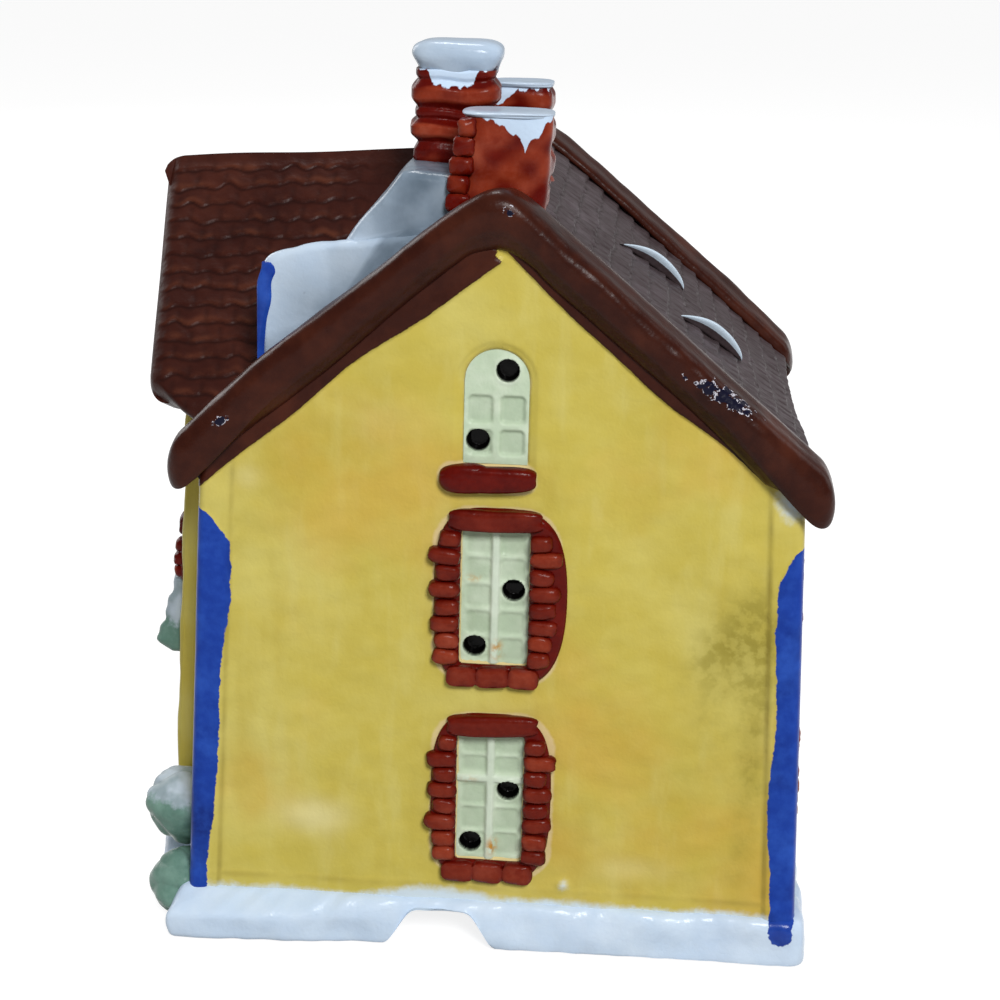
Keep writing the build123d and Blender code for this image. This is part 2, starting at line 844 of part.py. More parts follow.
# Snow drift from the dormer up to the left chimney
with BuildPart() as snow_drift:
    with BuildSketch(section_plane(drift_near_y)):
        outline(
            (-dormer_back_x, dormer_back_z),
            (-drift_top_x, drift_top_z),
            (-drift_right_x, drift_top_z),
            (-drift_right_x, dormer_foot_z),
            (-dormer_back_x, dormer_foot_z),
        )
    extrude(amount=drift_near_y - drift_far_y)
    add(main_block, mode=Mode.SUBTRACT)
    add(wing_block, mode=Mode.SUBTRACT)
    with BuildSketch(Plane(origin=(ridge_x + front_x, front_y - half_depth, 0))):
        Rectangle(front_width + 2 * joint_gap, front_depth + 2 * joint_gap)
        with Locations((overrun, -overrun)):
            Rectangle(front_width + 2 * overrun, front_depth + 2 * overrun)
    extrude(amount=sky, mode=Mode.SUBTRACT)
keep(snow_drift.part, "snow_drift")

# Eyebrow humps
keep(eyebrow(upper_eyebrow_x, upper_eyebrow_y), "eyebrow_upper")
keep(eyebrow(lower_eyebrow_x, lower_eyebrow_y), "eyebrow_lower")

# Windows, surrounds and sills of both gables
for name, place in (("near", near_plane), ("far", far_plane)):
    keep(window_panel(place(attic_window.x, attic_window.z), attic_window, 4), f"{name}_attic_window")
    sill_z = attic_window.z - attic_window.height / 2 - sill_drop
    keep(sill_bar(place(sill_x, sill_z)), f"{name}_attic_sill")
    keep(window_panel(place(middle_window.x, middle_window.z), middle_window, 5), f"{name}_middle_window")
    keep(window_panel(place(lower_window.x, lower_window.z), lower_window, 2), f"{name}_lower_window")
    for level, window in (("middle", middle_window), ("lower", lower_window)):
        ring = brick_surround(place(window.x, window.z), window.width, window.height, side_rows, True)
        keep(ring, f"{name}_{level}_surround")

# Right wall windows and surrounds, one group of like pieces each
right_panels = [window_panel(right_plane(y, z), right_window, 4) for y, z in right_places]
keep(Compound(children=right_panels), "right_windows")
right_rings = [
    brick_surround(right_plane(y, z), right_window.width, right_window.height, side_rows, True)
    for y, z in right_places
]
keep(Compound(children=right_rings), "right_surrounds")

# Wing windows, surrounds and snowy boxes
wing_panels = [window_panel(front_plane(y, z), wing_window, 3) for y, z in wing_places]
keep(Compound(children=wing_panels), "wing_windows")
# The bricks stand on the snow heap, which hides the lower half of each window
wing_bricks_foot = box_top + joint_gap
wing_bricks_height = wing_window_z + wing_window_height / 2 - wing_bricks_foot
wing_bricks_z = wing_bricks_foot + wing_bricks_height / 2
wing_rings = [
    brick_surround(front_plane(y, wing_bricks_z), wing_window.width, wing_bricks_height, heap_rows, False)
    for y, z in wing_places
]
keep(Compound(children=wing_rings), "wing_surrounds")


def window_box(y):
    """A window box heaped with snow on the wing's front wall, its side outline widest near the foot."""
    face = front_plane(y, box_top - box_height)
    profile = Plane(origin=face.origin, x_dir=face.z_dir, z_dir=(0, 1, 0))
    with BuildPart() as box:
        with BuildSketch(profile.offset(-box_width / 2)) as side:
            outline((0, 0), (box_reach, box_lip), (box_top_reach, box_height), (0, box_height))
            fillet(side.vertices().sort_by(Axis.X)[:2], radius=box_round)
        extrude(amount=box_width)
        outer = box.edges().filter_by(Axis.Y, reverse=True).sort_by(Axis.X)[:-2]
        fillet(outer, radius=box_round / 2)
    return box.part


keep(Compound(children=[window_box(y) for y, z in wing_places]), "window_boxes")

# Front door, its surround and step
with BuildPart() as front_door:
    door_face = front_plane(0, door_z)
    with BuildSketch(door_face.offset(-door_recess)):
        Rectangle(door_width, door_height)
    extrude(amount=-door_thickness)
    with BuildSketch(door_face.offset(-door_recess)):
        with GridLocations(door_width / 2, door_height / 2, 2, 2):
            Rectangle(door_width / 3, door_height / 3)
    extrude(amount=door_panel)
    knob_place = Location((door_width / 2 - 2 * knob_radius, 0, knob_radius / 2))
    with Locations(door_face.offset(-door_recess) * knob_place):
        Sphere(knob_radius)
keep(front_door.part, "front_door")
keep(brick_surround(front_plane(0, door_z), door_width, door_height, side_rows, False), "door_surround")

with BuildPart() as door_step:
    with BuildSketch(Plane(origin=(ridge_x - wing_foot_reach, 0, base_height))):
        with Locations((-step_depth / 2, 0)):
            Rectangle(step_depth, step_width)
    extrude(amount=step_height)
    fillet(door_step.faces().sort_by(Axis.Z)[-1].edges().sort_by(Axis.X)[0], radius=step_round)
keep(door_step.part, "door_step")

# Bushes beside the near and far left corners
with BuildPart() as left_solid:
    with BuildSketch():
        base_plan(0)
    extrude(amount=sky)
with BuildPart() as base_solid:
    add(snow_base.part)
    with BuildSketch():
        base_plan(-wall_thickness)
    extrude(amount=base_height)
    with BuildSketch(Plane.XY.offset(-overrun)):
        base_plan(overrun)
    extrude(amount=overrun + bush_lift)
with BuildPart() as bush_tall:
    add(bush(tall_bush_x, tall_bush_y, tall_bush_z, tall_bush_radius))
    add(left_solid.part, mode=Mode.SUBTRACT)
    add(base_solid.part, mode=Mode.SUBTRACT)
keep(bush_tall.part, "bush_tall")
with BuildPart() as bush_low:
    add(bush(low_bush_x, low_bush_y, low_bush_z, low_bush_radius))
    add(left_solid.part, mode=Mode.SUBTRACT)
    add(base_solid.part, mode=Mode.SUBTRACT)
    add(bush_tall.part, mode=Mode.SUBTRACT)
    add(corner_strips.part, mode=Mode.SUBTRACT)
keep(bush_low.part, "bush_low")
with BuildPart() as bush_far:
    mirror(bush_tall.part, about=Plane.XZ)
keep(bush_far.part, "bush_far")

# Lamp holder under the floor plate, revolved about the lamp axis
lamp_axis = Axis((ridge_x, 0, 0), (0, 0, 1))
lamp_section = Plane(origin=(ridge_x, 0, 0), x_dir=(1, 0, 0), z_dir=(0, -1, 0))
with BuildPart() as lamp_holder:
    with BuildSketch(lamp_section):
        outline(
            (0, cup_foot),
            (cup_radius, cup_foot),
            (cup_radius, flange_top - flange_thickness),
            (flange_radius, flange_top - flange_thickness),
            (flange_radius, flange_top),
            (barrel_radius, flange_top),
            (barrel_radius, barrel_top),
            (socket_radius, barrel_top),
            (socket_radius, socket_foot),
            (0, socket_foot),
        )
    revolve(axis=lamp_axis)
    cord_hole_z = (cup_foot + flange_top - flange_thickness) / 2
    with BuildSketch(Plane(origin=(ridge_x, 0, cord_hole_z), z_dir=(0, -1, 0))):
        Circle(cord_hole_radius / 2)
    extrude(amount=cup_radius + overrun, mode=Mode.SUBTRACT)
keep(lamp_holder.part, "lamp_holder")

# Spring clips on both sides of the holder
with BuildPart() as lamp_clips:
    with BuildSketch(lamp_section.offset(clip_width / 2)):
        for side in (-1, 1):
            outline(
                (side * barrel_radius, clip_foot),
                (side * clip_reach, clip_foot),
                (side * clip_reach, clip_knee),
                (side * (barrel_radius + clip_thickness), clip_top),
                (side * barrel_radius, clip_top),
                (side * barrel_radius, clip_top - 2 * clip_thickness),
                (side * (clip_reach - clip_thickness), clip_knee),
                (side * (clip_reach - clip_thickness), clip_foot + clip_thickness),
                (side * barrel_radius, clip_foot + clip_thickness),
            )
    extrude(amount=-clip_width)
    with BuildSketch(Plane(origin=(ridge_x, 0, clip_foot))):
        Circle(barrel_radius)
    extrude(amount=clip_top, mode=Mode.SUBTRACT)
keep(lamp_clips.part, "lamp_clips")

# Bulb: screw cap with its contact, glass envelope, stem with filament
with BuildPart() as bulb_cap:
    with BuildSketch(lamp_section):
        outline(
            (0, cap_foot - contact_height),
            (contact_radius, cap_foot - contact_height),
            (contact_radius, cap_foot),
            (cap_radius, cap_foot + contact_height),
            (cap_radius, cap_top),
            (cap_radius - cap_wall, cap_top),
            (cap_radius - cap_wall, cap_foot + cap_floor),
            (0, cap_foot + cap_floor),
        )
    revolve(axis=lamp_axis)
keep(bulb_cap.part, "bulb_cap")


def glass_line(inset):
    """The half outline of the bulb from neck to tip, moved in by inset."""
    neck = (glass_neck_radius - inset, cap_top)
    belly = (glass_radius - inset, glass_belly_z)
    tip = (0, glass_tip_z - inset)
    Spline(neck, belly, tangents=((0, 1), (0, 1)))
    Spline(belly, tip, tangents=((0, 1), (-1, 0)))


with BuildPart() as bulb_glass:
    with BuildSketch(lamp_section):
        with BuildLine():
            glass_line(0)
            glass_line(glass_wall)
            Line((glass_neck_radius - glass_wall, cap_top), (glass_neck_radius, cap_top))
            Line((0, glass_tip_z - glass_wall), (0, glass_tip_z))
        make_face()
    revolve(axis=lamp_axis)
keep(bulb_glass.part, "bulb_glass")

with BuildPart() as bulb_stem:
    with BuildSketch(Plane(origin=(ridge_x, 0, cap_foot + cap_floor))):
        Circle(stem_radius)
    extrude(amount=stem_top - cap_foot - cap_floor)
    filament_end = (ridge_x - filament_reach, 0, stem_top)
    with BuildSketch(Plane(origin=filament_end, x_dir=(0, 1, 0), z_dir=(1, 0, 0))):
        Circle(filament_radius)
    extrude(amount=2 * filament_reach)
keep(bulb_stem.part, "bulb_stem")
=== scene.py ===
"""A glazed, hand-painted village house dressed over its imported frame, with plain studio light and a camera."""
from collections import namedtuple
from math import cos, hypot, pi, radians, sin, tan

import bmesh
import bpy
import numpy as np
from mathutils import Matrix


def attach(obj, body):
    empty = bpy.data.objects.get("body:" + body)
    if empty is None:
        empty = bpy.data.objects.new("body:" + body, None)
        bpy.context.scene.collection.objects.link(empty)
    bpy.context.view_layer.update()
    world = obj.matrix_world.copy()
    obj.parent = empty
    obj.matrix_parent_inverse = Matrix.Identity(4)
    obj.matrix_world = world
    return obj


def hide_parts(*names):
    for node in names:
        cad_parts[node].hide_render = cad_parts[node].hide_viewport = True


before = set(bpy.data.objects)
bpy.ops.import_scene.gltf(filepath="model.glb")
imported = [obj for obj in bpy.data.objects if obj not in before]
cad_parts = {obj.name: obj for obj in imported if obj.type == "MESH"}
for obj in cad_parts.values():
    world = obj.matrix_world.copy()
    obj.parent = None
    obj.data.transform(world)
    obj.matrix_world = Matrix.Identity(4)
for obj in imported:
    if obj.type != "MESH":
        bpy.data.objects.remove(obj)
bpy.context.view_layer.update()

# Lengths are in millimetres. House places: x from the ridge line, y from the near gable's face, z from the table.
ridge_x = 4.65
half_depth = 49.3
wall_depth = 98.6
wall_plate = 5.0
foot_half = 53.5
eave_half = 50.0
base_height = 8.5
wall_foot = 8.2
roof_pitch = radians(40.1)
roof_plate = 4.0
ridge_z = 131.4
roof_half_span = 53.0
slope = tan(roof_pitch)
under_ridge = ridge_z - roof_plate / cos(roof_pitch)
eave_z = under_ridge - slope * eave_half
lean = (foot_half - eave_half) / (eave_z - base_height)
verge_top = 133.8
verge_half_span = 53.8
wing_half = 30.0
wing_foot = 60.7
wing_pitch = radians(46.5)
wing_droop = radians(2.6)
wing_ridge_z = 132.8
wing_reach = 65.3
wing_half_span = 34.4
wing_slant = 4.0
strip_top = 77.5
dormer_x = -41.4
wing_window_y = 17.2
foot_blob = (12.8, 12.3)

# A paint distance far outside any stroke
unpainted = -9.0

Face = namedtuple("Face", "origin across up out")
# A window's middle and size, its rows of lights and their depth, its bar's height, its cross bar's share of the
# height, whether it is arched, and its light holes as shares of its size from the middle
Window = namedtuple("Window", "x z width height lights depth bar cross arched holes")


def make_face(origin, across, up, out):
    """A wall's own axes: a starting point, and unit vectors across, up and out of the wall."""
    return Face(*(np.array(v, float) for v in (origin, across, up, out)))


tilt = hypot(1, lean)
near_face = make_face((0, 0, 0), (1, 0, 0), (0, 0, 1), (0, -1, 0))
far_face = make_face((0, wall_depth, 0), (-1, 0, 0), (0, 0, 1), (0, 1, 0))
right_face = make_face(
    (foot_half + lean * base_height, half_depth, 0),
    (0, 1, 0), (-lean / tilt, 0, 1 / tilt), (1 / tilt, 0, lean / tilt),
)
left_face = make_face(
    (-foot_half - lean * base_height, half_depth, 0),
    (0, -1, 0), (lean / tilt, 0, 1 / tilt), (-1 / tilt, 0, lean / tilt),
)
front_face = make_face(
    (-wing_foot - lean * base_height, half_depth, 0),
    (0, -1, 0), (lean / tilt, 0, 1 / tilt), (-1 / tilt, 0, lean / tilt),
)
wing_near_face = make_face((0, half_depth - wing_half, 0), (1, 0, 0), (0, 0, 1), (0, -1, 0))
wing_far_face = make_face((0, half_depth + wing_half, 0), (-1, 0, 0), (0, 0, 1), (0, 1, 0))
dormer_face = make_face((dormer_x, 0, 0), (0, -1, 0), (0, 0, 1), (-1, 0, 0))
table_face = make_face((0, 0, 0), (1, 0, 0), (0, 1, 0), (0, 0, 1))


def even_rows(count):
    """Rows of window lights, each a low and a high share of the pane's height."""
    return tuple(((i + 0.1) / count, (i + 0.9) / count) for i in range(count))


gable_holes = ((0.27, 0.05), (-0.29, -0.38))
attic_holes = ((0.16, 0.32), (-0.28, -0.3))
attic_lights = ((0.08, 0.29), (0.36, 0.59))
lower_lights = ((0.03, 0.2), (0.23, 0.4), (0.43, 0.59), (0.69, 0.81), (0.84, 0.96))
attic = Window(-0.8, 97.8, 10.6, 19.2, attic_lights, 0.55, 0.0, 0.0, True, attic_holes)
middle = Window(-0.3, 65.0, 11.4, 23.7, even_rows(5), 0.28, 0.5, 0.0, False, gable_holes)
lower = Window(-0.3, 28.3, 11.4, 23.7, lower_lights, 0.28, 0.5, 0.64, False, gable_holes)
right_windows = [
    Window(y, z, 10.6, 20.0, even_rows(4), 0.3, 0.45, 0.5, False, gable_holes)
    for z in (28.3, 61.0) for y in (-21.0, 21.0)
]
wing_windows = [
    Window(y, 57.6, 9.6, 14.0, even_rows(3), 0.3, 0.45, 0.0, False, gable_holes)
    for y in (wing_window_y, -wing_window_y)
]
door = Window(0.0, 23.2, 12.0, 25.0, (), 0.0, 0.0, 0.0, False, ())


def ease(low, high, value):
    """Smooth step from 0 at low to 1 at high: t squared times (3 - 2t)."""
    t = np.clip((value - low) / (high - low), 0, 1)
    return t * t * (3 - 2 * t)


def uneven(points, size, seed):
    """Hand-made unevenness, about -1 to 1: the mean of seven sine waves, about size mm long, in seeded ways."""
    rng = np.random.default_rng(seed)
    waves = rng.normal(size=(7, 3))
    waves *= 2 * pi / size * rng.uniform(0.7, 1.4, (7, 1)) / np.linalg.norm(waves, axis=1, keepdims=True)
    return np.sin(points @ waves.T + rng.uniform(0, 2 * pi, 7)).mean(-1) * 1.7


def on(face, a, b, h):
    """Points on a wall: its origin plus a across, b up and h out."""
    a, b, h = np.broadcast_arrays(a, b, h)
    return face.origin + a[..., None] * face.across + b[..., None] * face.up + h[..., None] * face.out


def measured(face, points):
    """Places of points on a wall: how far across, up and out of it they are."""
    return tuple((points - face.origin) @ way for way in (face.across, face.up, face.out))


def bell(a, b, x, z, wide, high):
    """A soft spot: 1 at its place, falling off as a bell curve across and up."""
    return np.exp(-(((a - x) / wide) ** 2) - ((b - z) / high) ** 2)


def squared(way, power):
    """Directions divided by their power norm: round at 2, nearer a square or a block the higher the power is."""
    return way / (np.abs(way) ** power).sum(-1, keepdims=True) ** (1 / power)


def ball_ways(around, along):
    """Longitudes, and the directions on a ball by latitude and longitude."""
    theta = np.linspace(0, 2 * pi, around, endpoint=False)[None, :]
    phi = np.linspace(-pi / 2, pi / 2, along)[:, None]
    parts = np.cos(phi) * np.cos(theta), np.cos(phi) * np.sin(theta), np.sin(phi)
    return theta, np.stack(np.broadcast_arrays(*parts), -1)


def round_ends(half, end, count, turns, least):
    """Places along a run, and the size of its section there: a quarter circle over each end, least or more."""
    turn = np.linspace(0, pi / 2, turns)
    run = np.linspace(-1, 1, count) * (half - end)
    ends = half - end + end * np.sin(turn[1:])
    places = np.concatenate([-ends[::-1], run, ends])[:, None]
    past = np.clip((np.abs(places) - half + end) / end, 0, 1)
    return places, np.sqrt(np.clip(1 - past**2, least, 1))


def beyond_box(a, b, half_a, half_b, corner):
    """Distance outside a rectangle with round corners, negative inside it."""
    qa = np.abs(a) - half_a + corner
    qb = np.abs(b) - half_b + corner
    return np.hypot(np.maximum(qa, 0), np.maximum(qb, 0)) + np.minimum(np.maximum(qa, qb), 0) - corner


def beyond_window(a, b, window):
    """Distance outside a window's pane: a rectangle, with a half circle on it where the window is arched."""
    a, b = a - window.x, b - window.z
    half = window.width / 2
    if not window.arched:
        return beyond_box(a, b, half, window.height / 2, 0.6)
    body = beyond_box(a, b + half / 2, half, window.height / 2 - half / 2, 0.3)
    return np.minimum(body, np.hypot(a, b - window.height / 2 + half) - half)


def grid_quads(rows, columns, round_rows=False, round_columns=False):
    """Four-sided faces of a grid of points, the last row or column joined to the first where it goes round."""
    index = np.arange(rows * columns).reshape(rows, columns)
    if round_rows:
        index = np.concatenate([index, index[:1]])
    if round_columns:
        index = np.concatenate([index, index[:, :1]], axis=1)
    return np.stack([index[:-1, :-1], index[1:, :-1], index[1:, 1:], index[:-1, 1:]], -1).reshape(-1, 4)


def closed_tube(rings):
    """A tube through rings of points, each end closed by a copy of its last ring shrunk to the ring's middle."""
    ends = [np.broadcast_to(r.mean(0), r.shape)[None] for r in (rings[0], rings[-1])]
    rings = np.concatenate([ends[0], rings, ends[1]])
    return rings.reshape(-1, 3), grid_quads(*rings.shape[:2], round_columns=True)


def closed_ring(rings):
    """A tube whose last ring joins its first."""
    return rings.reshape(-1, 3), grid_quads(*rings.shape[:2], True, True)


def plate(front, back):
    """A closed plate: a grid for its face, the grid's rim carried back, and the rim shrunk to its middle."""
    points = front.reshape(-1, 3)
    index = np.arange(len(points)).reshape(front.shape[:2])
    rim = np.concatenate([index[:, 0], index[-1, 1:], index[-2::-1, -1], index[0, -2:0:-1]])
    behind = points[rim] + back
    centre = np.broadcast_to(behind.mean(0), behind.shape)
    count = len(rim)
    loops = np.stack([rim, len(points) + np.arange(count), len(points) + count + np.arange(count)])
    loops = np.concatenate([loops, loops[:, :1]], axis=1)
    band = np.stack([loops[:-1, :-1], loops[1:, :-1], loops[1:, 1:], loops[:-1, 1:]], -1).reshape(-1, 4)
    return np.concatenate([points, behind, centre]), np.concatenate([grid_quads(*front.shape[:2]), band])


def cut_corners(points, times):
    """A closed outline with its corners cut: points at a quarter and three quarters stand for each side."""
    points = np.asarray(points, float)
    for _ in range(times):
        after = np.roll(points, -1, axis=0)
        pairs = np.stack([0.75 * points + 0.25 * after, 0.25 * points + 0.75 * after], 1)
        points = pairs.reshape(-1, points.shape[1])
    return points


def piece(name, shells, finish, nodes, marks=None, sharp=50):
    """One closed mesh from shells in house millimetres, riding on the house; marks are paint values by point."""
    starts = np.cumsum([0] + [len(p) for p, _ in shells])
    points = np.concatenate([p for p, _ in shells])
    quads = np.concatenate([q + s for (_, q), s in zip(shells, starts)])
    mesh = bpy.data.meshes.new(name)
    mesh.vertices.add(len(points))
    mesh.vertices.foreach_set("co", ((points + [ridge_x, -half_depth, 0]) * 0.001).ravel())
    mesh.loops.add(quads.size)
    mesh.loops.foreach_set("vertex_index", quads.ravel().astype(np.int32))
    mesh.polygons.add(len(quads))
    mesh.polygons.foreach_set("loop_start", np.arange(0, quads.size, 4, dtype=np.int32))
    mesh.update(calc_edges=True)
    for mark, values in (marks or {}).items():
        values = np.broadcast_to(values(points) if callable(values) else values, len(points))
        mesh.attributes.new(mark, "FLOAT", "POINT").data.foreach_set("value", values.astype(np.float32))
    shape = bmesh.new()
    shape.from_mesh(mesh)
    bmesh.ops.remove_doubles(shape, verts=shape.verts, dist=2e-6)
    bmesh.ops.recalc_face_normals(shape, faces=shape.faces)
    shape.to_mesh(mesh)
    shape.free()
    mesh.polygons.foreach_set("use_smooth", np.ones(len(mesh.polygons), bool))
    mesh.set_sharp_from_angle(angle=radians(sharp))
    mesh.materials.append(finish)
    thing = bpy.data.objects.new(name, mesh)
    bpy.context.scene.collection.objects.link(thing)
    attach(thing, "house")
    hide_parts(*nodes)
    return thing


def tones(shells, seed):
    """One seeded value from 0 to 1 for each shell, given to all of its points; the large shells stay dark."""
    large, kept = 600, 0.3
    counts = np.array([len(p) for p, _ in shells])
    values = np.random.default_rng(seed).uniform(0, 1, len(shells))
    values[counts > large] *= kept
    return np.repeat(values, counts)


# Finishes

def paint(*screen):
    """A colour as it looks on a screen, 0 to 255, as linear light."""
    return tuple(c / 255 / 12.92 if c <= 10 else ((c / 255 + 0.055) / 1.055) ** 2.4 for c in screen) + (1,)


def tints(*colours):
    """A colour with the lighter and the darker one that it clouds to."""
    return [paint(*colour) for colour in colours]


class Nodes:
    """Short calls that add nodes to one tree and join them."""

    def __init__(self, tree):
        self.tree = tree

    def put(self, value, socket):
        """Joins another node's output to a socket, or sets a plain value on it."""
        if isinstance(value, bpy.types.NodeSocket):
            self.tree.links.new(value, socket)
        else:
            socket.default_value = value

    def add(self, kind, inputs=None, **settings):
        """A node with its settings and its inputs, each a value or another node's output."""
        node = self.tree.nodes.new(kind)
        for key, value in settings.items():
            setattr(node, key, value)
        for key, value in (inputs or {}).items():
            self.put(value, node.inputs[key])
        return node

    def sum(self, operation, *values):
        """One step of arithmetic."""
        return self.add("ShaderNodeMath", dict(enumerate(values)), operation=operation).outputs[0]

    def times(self, first, second):
        """Two values multiplied."""
        return self.sum("MULTIPLY", first, second)

    def place(self):
        """The place on the piece in its own axes."""
        return self.add("ShaderNodeTexCoord").outputs["Object"]

    def noise(self, scale, detail=3.0, place=None):
        """Cloudy noise from 0 to 1 on the piece's own place, scale waves to the metre."""
        inputs = {"Vector": place or self.place(), "Scale": scale, "Detail": detail, "Roughness": 0.55}
        return self.add("ShaderNodeTexNoise", inputs).outputs["Fac"]

    def step(self, value, low, high, to_low=0.0, to_high=1.0):
        """A value taken smoothly from one range to another."""
        inputs = {"Value": value, "From Min": low, "From Max": high, "To Min": to_low, "To Max": to_high}
        return self.add("ShaderNodeMapRange", inputs, interpolation_type="SMOOTHSTEP").outputs["Result"]

    def mix(self, share, first, second):
        """Two colours mixed by a share."""
        return self.add("ShaderNodeMix", {0: share, 6: first, 7: second}, data_type="RGBA").outputs[2]

    def mark(self, name):
        """A paint value stored on the mesh."""
        return self.add("ShaderNodeAttribute", attribute_name=name).outputs["Fac"]

    def use(self, group, **inputs):
        """A shared effect with its own values."""
        return self.add("ShaderNodeGroup", inputs, node_tree=group).outputs


def effect(name, inputs, outputs):
    """An empty node group with named sockets; returns it with its nodes, its inputs and its outputs."""
    group = bpy.data.node_groups.new(name, "ShaderNodeTree")
    for key, (kind, value) in inputs.items():
        socket = group.interface.new_socket(name=key, in_out="INPUT", socket_type=kind)
        socket.default_value = value
    for key, kind in outputs.items():
        group.interface.new_socket(name=key, in_out="OUTPUT", socket_type=kind)
    nodes = Nodes(group)
    return group, nodes, nodes.add("NodeGroupInput").outputs, nodes.add("NodeGroupOutput").inputs


number, tint = "NodeSocketFloat", "NodeSocketColor"
white = (1.0, 1.0, 1.0, 1.0)


def mottle_effect():
    """Hand-brushed glaze: a colour that clouds to a lighter and a darker one, with fine brush grain."""
    group, nodes, ins, outs = effect(
        "Mottle",
        {"Colour": (tint, white), "Light": (tint, white), "Dark": (tint, white), "Scale": (number, 60.0)},
        {"Color": tint},
    )
    lighter = nodes.step(nodes.noise(ins["Scale"], 4), 0.48, 0.72)
    darker = nodes.step(nodes.noise(nodes.times(ins["Scale"], 0.55), 3), 0.52, 0.74)
    grain = nodes.step(nodes.noise(nodes.times(ins["Scale"], 4.3), 3), 0.35, 0.7, 0.0, 0.35)
    colour = nodes.mix(lighter, ins["Colour"], ins["Light"])
    colour = nodes.mix(darker, colour, ins["Dark"])
    nodes.put(nodes.mix(grain, colour, ins["Light"]), outs["Color"])
    return group


def stroke_effect():
    """A brush stroke's cover, 0 to 1, from a distance in mm, positive inside the stroke, with a ragged edge."""
    group, nodes, ins, outs = effect(
        "Stroke",
        {"Edge": (number, 0.0), "Ragged": (number, 0.3), "Soft": (number, 0.12)},
        {"Cover": number},
    )
    wide = nodes.sum("SUBTRACT", nodes.noise(330.0, 2), 0.5)
    fine = nodes.sum("SUBTRACT", nodes.noise(1500.0, 2), 0.5)
    rag = nodes.times(nodes.sum("MULTIPLY_ADD", fine, 0.5, wide), nodes.times(ins["Ragged"], 2.4))
    edge = nodes.sum("ADD", ins["Edge"], rag)
    nodes.put(nodes.step(edge, nodes.times(ins["Soft"], -1.0), ins["Soft"]), outs["Cover"])
    return group


def glaze_effect():
    """The skin of a fired glaze: a height of soft waves and fine dimples, and a roughness that clouds."""
    group, nodes, ins, outs = effect(
        "Glaze",
        {"Middle": (number, 0.22), "Spread": (number, 0.1)},
        {"Height": number, "Roughness": number},
    )
    cloud = nodes.sum("SUBTRACT", nodes.noise(180.0, 4), 0.5)
    nodes.put(nodes.sum("MULTIPLY_ADD", nodes.noise(1500.0, 2), 0.22, nodes.noise(260.0, 3)), outs["Height"])
    nodes.put(nodes.sum("MULTIPLY_ADD", cloud, ins["Spread"], ins["Middle"]), outs["Roughness"])
    return group


def speck_effect():
    """Fired specks and pinholes: small dots spread by a cell pattern, thinned by a cloud."""
    group, nodes, ins, outs = effect(
        "Specks", {"Scale": (number, 300.0), "Size": (number, 0.1)}, {"Cover": number}
    )
    inputs = {"Vector": nodes.place(), "Scale": ins["Scale"]}
    cells = nodes.add("ShaderNodeTexVoronoi", inputs).outputs["Distance"]
    dot = nodes.step(cells, ins["Size"], nodes.times(ins["Size"], 0.4))
    some = nodes.step(nodes.noise(90.0, 2), 0.56, 0.62)
    nodes.put(nodes.times(dot, some), outs["Cover"])
    return group


mottle = mottle_effect()
stroke = stroke_effect()
glaze = glaze_effect()
specks = speck_effect()


def mottled(nodes, shades, scale):
    """Hand-brushed glaze in a colour with its lighter and darker clouds."""
    colour, light, dark = shades
    return nodes.use(mottle, Colour=colour, Light=light, Dark=dark, Scale=scale)["Color"]


def stroked(nodes, edge, ragged, soft):
    """The cover of a brush stroke inside an edge."""
    return nodes.use(stroke, Edge=edge, Ragged=ragged, Soft=soft)["Cover"]


def finish(name, colour, middle=0.22, spread=0.12, bump=0.0003, level=0.1, **constants):
    """A glazed material: a function gives the colour's nodes, the glaze effect the bump and roughness."""
    material = bpy.data.materials.new(name)
    material.use_nodes = True
    nodes = Nodes(material.node_tree)
    sockets = material.node_tree.nodes["Principled BSDF"].inputs
    skin = nodes.use(glaze, Middle=middle, Spread=spread)
    relief = nodes.add("ShaderNodeBump", {"Height": skin["Height"], "Distance": bump, "Strength": 0.6})
    nodes.put(colour(nodes), sockets["Base Color"])
    nodes.put(skin["Roughness"], sockets["Roughness"])
    nodes.put(relief.outputs["Normal"], sockets["Normal"])
    sockets["Specular IOR Level"].default_value = level
    for key, value in constants.items():
        sockets[key.replace("_", " ")].default_value = value
    return material


snow_tint = tints((196, 215, 236), (212, 226, 240), (176, 196, 222))
brown_tint = tints((50, 19, 11), (70, 32, 20), (34, 12, 8))
cobalt_tint = tints((26, 60, 152), (44, 84, 178), (18, 42, 118))
ochre_tint = tints((196, 179, 82), (206, 193, 106), (187, 165, 66))
wing_tile_tint = tints((51, 20, 14), (68, 31, 22), (37, 13, 10))
shingle_tint = tints((66, 56, 58), (86, 76, 80), (52, 40, 42))
brick_joint_tint = tints((85, 8, 3), (102, 17, 6), (67, 5, 2))
brick_top_tint = tints((134, 48, 26), (150, 69, 48), (112, 29, 14))
pane_tint = tints((188, 205, 178), (206, 219, 196), (170, 187, 158))
sage_tint = tints((98, 132, 119), (124, 156, 143), (68, 97, 84))
door_tint = tints((104, 56, 30), (130, 78, 46), (78, 38, 20))
cobalt_scale = 120.0


def snow_colour(nodes):
    """Bluish white glaze with a few fired specks, greyer under the shade mark: painted shade, with some dirt."""
    base = mottled(nodes, snow_tint, 45.0)
    dots = nodes.use(specks, Scale=260.0, Size=0.1)["Cover"]
    base = nodes.mix(nodes.times(dots, 0.5), base, paint(140, 146, 160))
    cloud = nodes.step(nodes.noise(150.0, 3), 0.25, 0.75, 0.75, 1.0)
    # The shade mark greys the snow to blue grey: painted shade, and a little dirt on the dormer.
    return nodes.mix(nodes.times(nodes.mark("shade"), cloud), base, paint(94, 109, 123))


def rim_colour(nodes):
    """The base's bluish white, with the end of a cobalt stroke that runs down over it."""
    cover = stroked(nodes, nodes.mark("blue"), 0.7, 0.12)
    return nodes.mix(cover, snow_colour(nodes), mottled(nodes, cobalt_tint, cobalt_scale))


